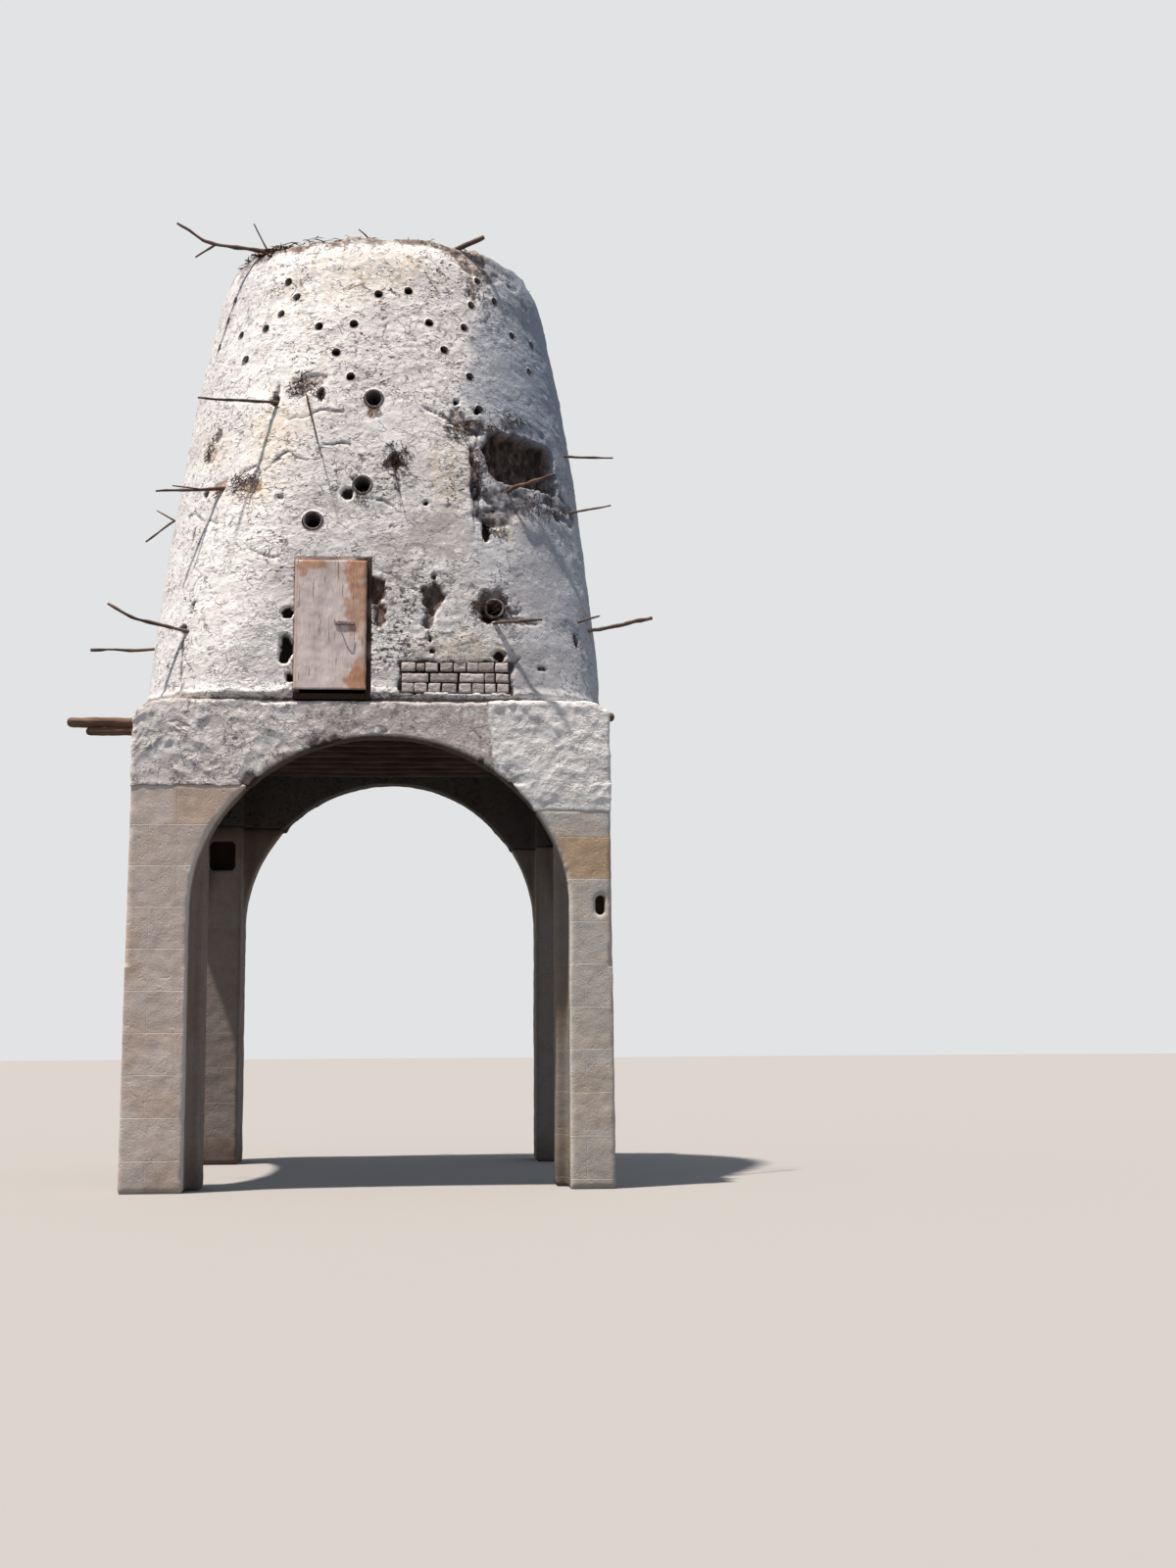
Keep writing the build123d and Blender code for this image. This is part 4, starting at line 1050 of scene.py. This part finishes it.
def stonePier(name, material):
    points, quads, normals = remeshed(*solidCopy([name]), base["stoneCell"])
    x, y, z = points.T
    orange = np.where(isIn(points, "redBlock"), 1, 0.35 * smoothStep(0.2, 0.6, roughness(points, 0.5, 139, 3)))
    orange = np.maximum(orange, 0.6 * smoothStep(-2.03, -1.98, x) * (x < 0) * (z > 3.68))
    push = 0.003 * roughness(points, 0.35, 131, 3) + 0.0025 * roughness(points, 0.09, 134, 2)
    worn = smoothStep(0.35, 0.75, roughness(points * (1, 1, 0.7), 0.18, 137, 3))
    push -= 0.012 * worn * smoothStep(0.2, 0.5, 1 - np.max(np.abs(normals), axis=1) * 1.05 + 0.2)
    moved = points + normals * push[:, None]
    moved[:, 2] = np.maximum(moved[:, 2], 0)
    # Painted highlight along the arch and the jambs, painted shade on the inner faces
    offEdge = np.where(z > archSpring, np.abs(offArch(x, z)) * 1.8, np.abs(np.abs(x - archMiddle) - archHalf))
    strip = np.exp(-(offEdge / 0.035) ** 2) * (y < -base["face"])
    within = 1 - smoothStep(2.34, 2.43, np.maximum(np.abs(x), np.abs(y)))
    # Painted shade, deeper high up and in the niche and the slot, and darker towards the foot
    shade = within * (0.62 + 0.3 * smoothStep(3.9, 4.15, z)) + 0.2 * (1 - smoothStep(0, 0.5, z))
    shade += 0.8 * isIn(points, "niche") + 0.85 * isIn(points, "slot")
    makePiece("stone_" + name, moved, quads, material, "limestone", [name],
              {"edgeHighlight": 0.55 * strip, "shade": np.clip(shade, 0, 1), "orange": orange})


for hand, material in (("left", leftStone), ("right", rightStone)):
    for end in ("front", "back"):
        stonePier(f"{end}_{hand}_pier", material)
print("base done")


# Sticks, twigs and straw

def wallFront(x, height, inset):
    # Points inset from the front of the tower, given how far left or right they are
    half, corner = outlineAt(height)
    past = np.maximum(np.abs(x) - (half - corner), 0)
    y = inset - (half - corner + np.sqrt(np.maximum(corner ** 2 - past ** 2, 0)))
    return np.stack([x + 0 * y, y, height + 0 * y], -1)


# Each stick is the points along it and its radius at both ends
perches = {
    "left_perches": [
        ([(-0.8, -1.9, 8.27), (-1.034, -1.993, 8.259), (-1.855, -2.35, 8.182)], 0.019, 0.011),
        ([(-1.44, -1.842, 7.366), (-1.866, -1.92, 7.318), (-2.318, -2, 7.267)], 0.021, 0.012),
        ([(-2.06, -0.6, 7.38), (-2.311, -0.6, 7.317), (-2.618, -0.6, 7.064)], 0.016, 0.009),
        ([(-1.76, -2.09, 5.7), (-2, -2.12, 5.748), (-2.486, -2.2, 5.851), (-2.755, -2.2, 6.007)], 0.024, 0.015),
        ([(-2.15, -1.2, 5.726), (-3.091, -1.2, 5.704)], 0.02, 0.016),
        ([(-1.866, -1.92, 7.318), (-2.139, -2.05, 7.314)], 0.011, 0.007),
        ([(-2.311, -0.6, 7.317), (-2.503, -0.6, 7.427)], 0.012, 0.007),
    ],
    "right_perches": [
        ([(1.88, -1.02, 8.03), (2.263, -0.95, 8.025), (2.642, -0.9, 8.042)], 0.016, 0.01),
        ([(1.93, -1.3, 7.23), (2.37, -1.14, 7.371), (2.592, -1.1, 7.434)], 0.018, 0.01),
        ([(1.98, -1.78, 5.79), (2.427, -1.5, 5.924), (3.06, -0.9, 6.19)], 0.027, 0.018),
        ([(1.96, -1.9, 5.89), (2.13, -1.85, 5.925), (2.419, -1.6, 6.06)], 0.017, 0.01),
        ([(1.18, -2.15, 5.78), (1.25, -2.4, 5.795), (1.733, -2.6, 5.804)], 0.024, 0.017),
        ([(1.33, -1.96, 7.26), (1.47, -2.12, 7.35), (1.918, -1.75, 7.594)], 0.024, 0.019),
    ],
    "rear_perches": [
        ([(-0.5, 1.9, 8.2), (-0.62, 2.48, 8.24)], 0.018, 0.011),
        ([(0.7, 2, 7.3), (0.78, 2.59, 7.33)], 0.02, 0.012),
        ([(-0.9, 2.05, 6.45), (-0.98, 2.6, 6.47)], 0.022, 0.014),
        ([(1.5, 1.9, 5.8), (1.8, 2.56, 5.85)], 0.024, 0.016),
    ],
    "rim_branch": [
        ([(-1, -1.23, 10.15), (-1.16, -1.2, 10.24), (-1.515, -1.15, 10.314), (-1.832, -1.1, 10.381),
          (-1.99, -1.1, 10.42), (-2.278, -1.1, 10.611)], 0.028, 0.015),
        ([(-1.832, -1.1, 10.381), (-2.068, -1.1, 10.216)], 0.014, 0.008),
    ],
    "rim_twigs": [
        ([(-1.15, -1.24, 10.08), (-1.233, -1.24, 10.217), (-1.413, -1.2, 10.582)], 0.012, 0.008),
        ([(-0.06, -1.6, 10.11), (-0.134, -1.66, 10.278), (-0.226, -1.7, 10.343)], 0.011, 0.007),
        ([(0.52, -1.4, 10.08), (1.156, -1.5, 10.375)], 0.033, 0.026),
    ],
}
for place, (name, sticks) in enumerate(perches.items()):
    parts = [gnarledTube(points, first, last, 200 + 11 * place + number, 10, 0.03, 0.3 if first < 0.03 else 0.16)
             for number, (points, first, last) in enumerate(sticks)]
    vertices, faces = joinParts(parts)
    values = {"rust": 0.5 * smoothStep(0, 0.6, roughness(vertices, 0.3, 140 + place, 3)),
              "shade": 0.3 * smoothStep(0, 0.6, roughness(vertices, 0.2, 150 + place, 3))}
    makePiece(name + "_wood", vertices, faces, stickWood, "stick_wood", [name], values)


def thinStalk(points, thick):
    # A stalk with three sides and a point at each end, cheap enough to use by the hundred
    points = np.array(points)
    ahead = np.gradient(points, axis=0)
    ahead /= np.maximum(np.linalg.norm(ahead, axis=1), 1e-9)[:, None]
    across = np.cross(ahead, (0.31, 0.42, 0.85))
    across /= np.maximum(np.linalg.norm(across, axis=1), 1e-9)[:, None]
    up = np.cross(across, ahead)
    vertices = [points[0].tolist()]
    for row in range(1, len(points) - 1):
        for turn in (0, 2 * math.pi / 3, 4 * math.pi / 3):
            spoke = math.cos(turn) * across[row] + math.sin(turn) * up[row]
            vertices.append((points[row] + thick * spoke).tolist())
    vertices.append(points[-1].tolist())
    last = len(vertices) - 1
    faces = bandFaces(len(points) - 2, 3, 1)
    for side in range(3):
        after = (side + 1) % 3
        faces += [[0, 1 + after, 1 + side], [last, last - 3 + side, last - 3 + after]]
    return vertices, faces


# Stalks are drawn about twice as thick as straw, so that they show
straw = {
    "reach": 2.2,  # about how far the wall is from the axis
    "rimStalks": 520,
    "rootStalks": 90,
    # a loose twig hangs in front of the wall at each nest: its points and its radius
    "hanging": [([(-0.77, -2.0, 8.46), (-0.72, -2.16, 8.2), (-0.6, -2.40, 7.69)], 0.012),
                ([(0.18, -2.2, 7.62), (0.2, -2.29, 7.42), (0.25, -2.36, 7.2)], 0.008)],
    # degrees right of the front, height, width, height of the tangle, stalks
    "tangles": [
        (-21.5, 8.47, 0.32, 0.3, 46), (5.6, 7.62, 0.3, 0.36, 60), (-34, 7.36, 0.42, 0.3, 40),
        (28, 5.99, 0.42, 0.3, 70), (-50, 7.85, 0.2, 0.34, 24), (22, 7.95, 0.3, 0.22, 36),
        (-16, 8.33, 0.1, 0.16, 14), (27, 7.5, 0.22, 0.5, 40), (46, 7.22, 0.7, 0.3, 60), (-3.5, 7.16, 0.14, 0.12, 12),
        (-0.8, 8.16, 0.16, 0.1, 10), (31, 8.05, 0.6, 0.14, 34), (-29, 8.33, 0.08, 0.16, 10), (-42, 7.3, 0.1, 0.12, 8),
        (29.8, 6.86, 0.2, 0.2, 18), (40, 8.2, 0.5, 0.2, 26),
    ],
}
luck = np.random.default_rng(8246)
stalks = []
for _ in range(straw["rimStalks"]):
    share = luck.random()
    angle = math.radians(luck.uniform(-75, -22) if share < 0.45 else luck.uniform(-180, 180))
    middle = onTower(np.array(angle), tower["top"], luck.uniform(0.05, 0.37))
    middle[2] = tower["top"] + 0.045 + 0.05 * luck.random() ** 2 + (0.05 * luck.random() if share < 0.45 else 0)
    length = luck.uniform(0.06, 0.34)
    turn = luck.uniform(0, 2 * math.pi)
    ahead = np.array([math.cos(turn), math.sin(turn), luck.uniform(-0.08, 0.16)])
    sag = np.array([0, 0, -0.1 * length])
    places = np.linspace(-0.5, 0.5, 5)
    points = [middle + ahead * length * p + sag * 4 * p * p + luck.normal(0, 0.004, 3) for p in places]
    for p in points:
        reach = math.hypot(p[0], p[1])
        edge = float(reachAt(np.array(math.atan2(p[0], -p[1])), tower["top"]))
        if reach > edge:
            p[2] -= min(0.5 * (reach - edge), 0.1)
    stalks.append(thinStalk(points, luck.uniform(0.0025, 0.007)))
for _ in range(straw["rootStalks"]):
    # The dark tangle of roots where the branch lies on the rim
    angle = math.radians(luck.normal(-47, 8))
    middle = onTower(np.array(angle), tower["top"], luck.uniform(-0.02, 0.12))
    middle[2] = tower["top"] + 0.025 + luck.uniform(-0.06, 0.05)
    turn = luck.uniform(0, 2 * math.pi)
    ahead = np.array([math.cos(turn), math.sin(turn), luck.uniform(-0.4, 0.2)])
    length, lean = luck.uniform(0.08, 0.28), luck.normal(0, 0.022, 3)
    points = [middle + ahead * length * p + lean * (1 - 4 * p * p) for p in np.linspace(-0.5, 0.5, 6)]
    stalks.append(thinStalk(points, luck.uniform(0.004, 0.011)))
for points, thick in straw["hanging"]:
    stalks.append(gnarledTube(points, thick, thick * 0.5, 190 + len(stalks), 7, 0.04, 0.3))
for degreesRound, height, wide, tall, count in straw["tangles"]:
    for _ in range(count):
        away, turn = luck.random() ** 0.7, luck.uniform(0, 2 * math.pi)
        middleAngle = math.radians(degreesRound) + away * math.cos(turn) * wide / 2 / straw["reach"]
        middleHeight = height + away * math.sin(turn) * tall / 2
        length, lean, bend = luck.uniform(0.04, 0.15), luck.uniform(0, math.pi), luck.normal(0, 1.1)
        points = []
        for p in np.linspace(-0.5, 0.5, 5):
            along = lean + bend * p
            angle = middleAngle + length * p * math.cos(along) / straw["reach"]
            points.append(onTower(np.array(angle), middleHeight + length * p * math.sin(along),
                                  -0.006 - 0.02 * luck.random()))
        stalks.append(thinStalk(points, luck.uniform(0.0025, 0.006)))
makePiece("straw_and_twigs", *joinParts(stalks), strawStalk, "stick_wood")
print("sticks done")

bricks = {
    "joint": 0.005,
    "depth": 0.12,
    "tone": 0.28,
    # each course is the height of its lower and upper edge and then the ends of its bricks
    "courses": [
        (5.286, 5.379, [(0.284, 0.43), (0.436, 0.528), (0.533, 0.664), (0.687, 0.814), (0.823, 0.953), (0.962, 1.08),
                        (1.086, 1.246), (1.254, 1.392)]),
        (5.173, 5.262, [(0.29, 0.568), (0.586, 0.866), (0.888, 1.142), (1.15, 1.25), (1.262, 1.4)]),
        (5.058, 5.157, [(0.29, 0.412), (0.42, 0.552), (0.566, 0.69), (0.708, 0.858), (0.882, 1.012), (1.02, 1.142),
                        (1.152, 1.262), (1.272, 1.4)]),
    ],
}
brickParts, brickTones = [], []
for course, (low, high, ends) in enumerate(bricks["courses"]):
    for number, (left, right) in enumerate(ends):
        seed = 300 + 10 * course + number
        small = right - left < 0.1
        wear, tall = (0.012, 0.8 * (high - low)) if small else (0.006, high - low)
        block, faces = roughBlock(((left + right) / 2, 0, (low + high) / 2),
                                  (right - left - bricks["joint"], bricks["depth"], tall), seed, wear, 0.022)
        block = block + np.stack([0.0025 * roughness(block, 0.05, seed + axis, 2) for axis in range(3)], 1)
        # Only the front of each shows, a few millimetres in front of or behind its neighbours
        depth = block[:, 1] + 0.062 + 0.004 * math.sin(seed * 7.3)
        brickParts.append((wallFront(block[:, 0], block[:, 2], depth), faces))
        brickTones += [bricks["tone"] * (1 + math.sin(seed * 3.7))] * len(block)
makePiece("bare_bricks", *joinParts(brickParts), brickClay, "tower_plaster", (), {"tone": brickTones})

# Hatch: boards and frame lean back with the wall
hatchLean = math.atan2(*hatch["lean"])


def onHatch(points):
    # From across, up and out on the hatch to the shared frame
    across, rise, out = np.asarray(points, float).T
    return np.stack([hatch["middle"] + across,
                     hatch["front"] + rise * math.sin(hatchLean) - out * math.cos(hatchLean),
                     hatch["foot"] + rise * math.cos(hatchLean) + out * math.sin(hatchLean)], -1)


def hatchBlock(left, right, low, high, back, front, seed, wear, cell):
    return roughBlock(((left + right) / 2, (low + high) / 2, (back + front) / 2),
                      (right - left, high - low, front - back), seed, wear, cell)


# All measured on the hatch: left, right, low and high edges, then the back and the front
hatchLook = {
    "leaf": (-0.393, 0.349, 0.098, 1.474, 0.01, 0.038),
    "frame": ((-0.4, -0.338, 0.0, 1.51), (0.338, 0.4, 0.0, 1.51), (-0.338, 0.338, 1.448, 1.51),
              (-0.338, 0.338, 0.0, 0.062)),
    "frameDepth": (-0.14, 0.008),
    "latch": (0.025, 0.225, 0.779, 0.821, 0.0395, 0.0505),
    "wire": [(0.045, 0.83, 0.044), (0.16, 0.53, 0.041), (0.215, 0.48, 0.041), (0.235, 0.6, 0.041)],
    # rust-brown stains: across, up, width, height of the stain, how strong
    "stains": [(-0.22, 1.42, 0.34, 0.16, 0.9), (-0.3, 1.38, 0.16, 0.14, 0.8), (0.27, 1.36, 0.32, 0.32, 0.95),
               (0.3, 1.12, 0.22, 0.6, 0.9), (0.25, 0.93, 0.26, 0.44, 0.75), (0.31, 0.72, 0.12, 0.28, 0.5),
               (0.29, 0.2, 0.3, 0.26, 1), (0.32, 0.36, 0.16, 0.24, 0.7), (0.33, 0.6, 0.06, 2.0, 0.55),
               (-0.38, 0.7, 0.04, 2.4, 0.35)],
}
leaf, faces = hatchBlock(*hatchLook["leaf"], 401, 0.004, 0.016)
leaf[:, 2] += 0.0025 * roughness(leaf * (1, 0.25, 1), 0.12, 403, 2)
stain = inOvals(leaf[:, 0], leaf[:, 1], hatchLook["stains"], 0.45 * roughness(leaf, 0.12, 405, 4), 0.75, 1.15)
dirtAndGapShade = 0.2 * smoothStep(0.2, 0.8, roughness(leaf * (1, 0.3, 1), 0.2, 407, 3))
# Painted shade: a dark line along the gap at the board's right edge
dirtAndGapShade = np.maximum(dirtAndGapShade, 0.6 * np.exp(-((leaf[:, 0] - 0.34) / 0.012) ** 2))
makePiece("hatch_board", onHatch(leaf), faces, hatchWood, "hatch_wood", ["hatch_leaf"],
          {"rust": stain, "shade": dirtAndGapShade})

frameParts = []
for number, edges in enumerate(hatchLook["frame"]):
    bar, faces = hatchBlock(*edges, *hatchLook["frameDepth"], 411 + number, 0.005, 0.03)
    frameParts.append((onHatch(bar), faces))
vertices, faces = joinParts(frameParts)
vertices[:, 2] = np.maximum(vertices[:, 2], hatch["foot"] + 0.001)
# Painted shade on the frame: the right post and the sill nearly black
shade = 0.66 + 0.34 * (vertices[:, 0] > -0.2) + 0.9 * (vertices[:, 2] < 5.06)
shade += 0.2 * roughness(vertices, 0.15, 416, 2)
makePiece("hatch_surround", vertices, faces, hatchWood, "hatch_wood", ["hatch_frame"],
          {"rust": 0.4 + 0.3 * roughness(vertices, 0.2, 415, 2), "shade": np.clip(shade, 0, 1)})
bar, faces = hatchBlock(*hatchLook["latch"], 421, 0.003, 0.0118)
wire = gnarledTube(onHatch(hatchLook["wire"]), 0.003, 0.003, 423, 6, 0.03, 0.05)
makePiece("latch_bar", *joinParts([(onHatch(bar), faces), wire]), ironBar, "iron", ["hatch_latch"])
print("hatch done")

# Loft floor seen from below, darkened with painted shade
loft = {
    "beams": 8,
    "spacing": 0.44,
    "beamLine": ((-2.315, 4.76), (-1.2, 4.762), (0, 4.757), (1.2, 4.761), (2.315, 4.76)),
    "beamRadii": (0.079, 0.074),
    "boards": 23,
    "boardGap": 0.008,
    "boardSize": (4.18, 4.17, 0.037),
    "boardHeight": 4.86,
}
loftParts = []
for place in range(loft["beams"]):
    y = (place - (loft["beams"] - 1) / 2) * loft["spacing"]
    line = [(x, y, height) for x, height in loft["beamLine"]]
    loftParts.append(gnarledTube(line, *loft["beamRadii"], 500 + place, 16, 0.09, 0.05))
vertices, faces = joinParts(loftParts)
makePiece("palm_beams", vertices, faces, logWood, "beam_wood", ["ceiling_beams"],
          {"rust": np.full(len(vertices), 0.2), "shade": 0.74 + 0.22 * roughness(vertices, 0.3, 505, 2)})
wide, long, thick = loft["boardSize"]
edges = np.linspace(-wide / 2, wide / 2, loft["boards"] + 1)
vertices, faces = joinParts([
    roughBlock(((left + right) / 2, 0, loft["boardHeight"]), (right - left - loft["boardGap"], long, thick),
               520 + place, 0.004, 0.12) for place, (left, right) in enumerate(zip(edges, edges[1:]))])
makePiece("loft_boards", vertices, faces, boardWood, "beam_wood", ["floor_boards"],
          {"rust": np.zeros(len(vertices)), "shade": 0.6 + 0.3 * roughness(vertices, 0.4, 525, 2)})

# Logs that run out through the walls: node, where along x, height, radii, step along it
logs = {
    "long_log": ("high_log", (-3.165, -1, 2.07), 4.79, (0.054, 0.047), 0.025),
    "under_log": ("low_log", (-2.97, -1, 2.07), 4.695, (0.045, 0.037), 0.025),
    "stub_log": ("log_end", (2.1, 2.525), 4.885, (0.054, 0.052), 0.02),
}
logLine = -1.985
for name, (node, along, height, radii, step) in logs.items():
    vertices, faces = gnarledTube([(x, logLine, height) for x in along], *radii, 540 + len(name), 16, step, 0.07)
    vertices = np.array(vertices)
    reach = np.abs(vertices[:, 0])
    tip = np.abs(along).max()
    # Rounded, weathered tips
    share = smoothStep(tip - 0.05, tip + 0.01, reach)
    axis = (logLine, height)
    vertices[:, 1:] = axis + (vertices[:, 1:] - axis) * np.sqrt(1 - 0.62 * share ** 2)[:, None]
    # Painted shade on the logs inside the base, and darker at the tips
    shade = np.where(reach < 2.3, 0.7, 0.1) + 0.45 * np.maximum(reach > tip - 0.01, share)
    makePiece(name, vertices, faces, logWood, "beam_wood", [node],
              {"rust": 0.5 + 0.4 * roughness(vertices, 0.4, 545, 2), "shade": shade})

# Roof: a lumpy skin of mud with straw, set down inside the rim
roof = {"rings": 46, "sides": 200, "top": 10.008, "bottom": 9.912, "edge": 0.1, "gap": 0.004}
turns = np.linspace(0, 2 * math.pi, roof["sides"], endpoint=False)
outer = reachAt(turns, np.full(roof["sides"], 10.0)) - tower["wall"] - roof["gap"]
spokes = np.stack([outer * np.sin(turns), -outer * np.cos(turns), 0 * turns], 1)
roofPoints = np.concatenate([[[0, 0, 0]]] + [spokes * ((ring + 1) / roof["rings"]) for ring in range(roof["rings"])])
roofPoints[:, 2] = roof["top"]
roofPoints[:, 2] += 0.012 * roughness(roofPoints, 0.5, 551, 3) + 0.007 * roughness(roofPoints, 0.12, 554, 3)
under = roofPoints[-roof["sides"]:] - (0, 0, roof["edge"])
roofPoints = np.concatenate([roofPoints, under, [[0, 0, roof["bottom"]]]])
lastRing, bottom = 1 + roof["rings"] * roof["sides"], len(roofPoints) - 1
faces = [[a, d, c, b] for a, b, c, d in bandFaces(roof["rings"] + 1, roof["sides"], 1)]
for side in range(roof["sides"]):
    after = (side + 1) % roof["sides"]
    faces += [[0, 1 + side, 1 + after], [bottom, lastRing + after, lastRing + side]]
makePiece("mud_roof_skin", roofPoints, faces, roofMud, "rammed_mud", ["mud_roof"])
print("roof done")

# Camera at the photograph's viewing angle
view = {"place": (0.62, -22.475, 1.6), "yaw": 4.55, "pitch": 7.12, "roll": -0.30, "lens": 45}
yaw, pitch, roll = (math.radians(view[part]) for part in ("yaw", "pitch", "roll"))
look = Vector((math.sin(yaw) * math.cos(pitch), math.cos(yaw) * math.cos(pitch), math.sin(pitch)))
right = look.cross(Vector((0, 0, 1))).normalized()
up = right.cross(look)
turnedRight = right * math.cos(roll) + up * math.sin(roll)
turnedUp = up * math.cos(roll) - right * math.sin(roll)
cameraData = bpy.data.cameras.new("camera")
cameraData.lens = view["lens"]
cameraData.sensor_width = 36
camera = addObject("camera", cameraData)
turned = Matrix((turnedRight, turnedUp, -look)).transposed().to_4x4()
camera.matrix_world = Matrix.Translation(view["place"]) @ turned
bpy.context.scene.camera = camera

# A high sun from the left like the photograph's, a cool fill and a pale floor
light = {"from": (-0.262, -0.13, 0.956), "strength": 7.0, "spread": 1.8, "colour": "#FFF6ED",
         "fill": 0.5, "sky": "#D9E6FB", "backdrop": "#E2E3E4"}
sunData = bpy.data.lights.new("sun", "SUN")
sunData.energy = light["strength"]
sunData.angle = math.radians(light["spread"])
sunData.color = linear(light["colour"])[:3]
sun = addObject("sun", sunData)
sun.matrix_world = Vector(light["from"]).to_track_quat("Z", "Y").to_matrix().to_4x4()


def seenDirectly(tree):
    # 1 for what the camera, a mirror or glass sees, 0 for light that bounces
    rays = addNode(tree, "LightPath").node.outputs
    seen = addNode(tree, "Math", [rays["Is Camera Ray"], rays["Is Glossy Ray"]], operation="MAXIMUM")
    return addNode(tree, "Math", [seen, rays["Is Transmission Ray"]], operation="MAXIMUM")


world = bpy.data.worlds.new("studio")
world.use_nodes = True
bpy.context.scene.world = world
background = world.node_tree.nodes["Background"]
fillColour = [light["fill"] * part for part in linear(light["sky"])[:3]] + [1]
skyColour = layCoats(world.node_tree, fillColour, [(linear(light["backdrop"]), seenDirectly(world.node_tree))])
world.node_tree.links.new(skyColour, background.inputs["Color"])
bpy.context.scene.view_settings.view_transform = "Standard"

floorMaterial, floorTree, floorShader, floorColours, *_ = startMaterial(
    "pale studio floor", {"lit": "#62605E", "seen": "#928F8C"}, 0.95, 0.1)
floorColour = layCoats(floorTree, floorColours["lit"], [(floorColours["seen"], seenDirectly(floorTree))])
floorTree.links.new(floorColour, floorShader.inputs["Base Color"])
floorMesh = bpy.data.meshes.new("floor")
farOut = 90
floorCorners = [(x * farOut, y * farOut, 0) for x, y in ((-1, -1), (1, -1), (1, 1), (-1, 1))]
floorMesh.from_pydata(floorCorners, [], [(0, 1, 2, 3)])
floorMesh.materials.append(floorMaterial)
floor = addObject("floor", floorMesh)
print("camera, light and floor done")

# Solids that stay as they are, out of sight but for their edges
for name, chosen in (("mud_floor", darkMud), ("roof_logs", logWood)):
    for place in range(len(nodes[name].data.materials)):
        nodes[name].data.materials[place] = chosen
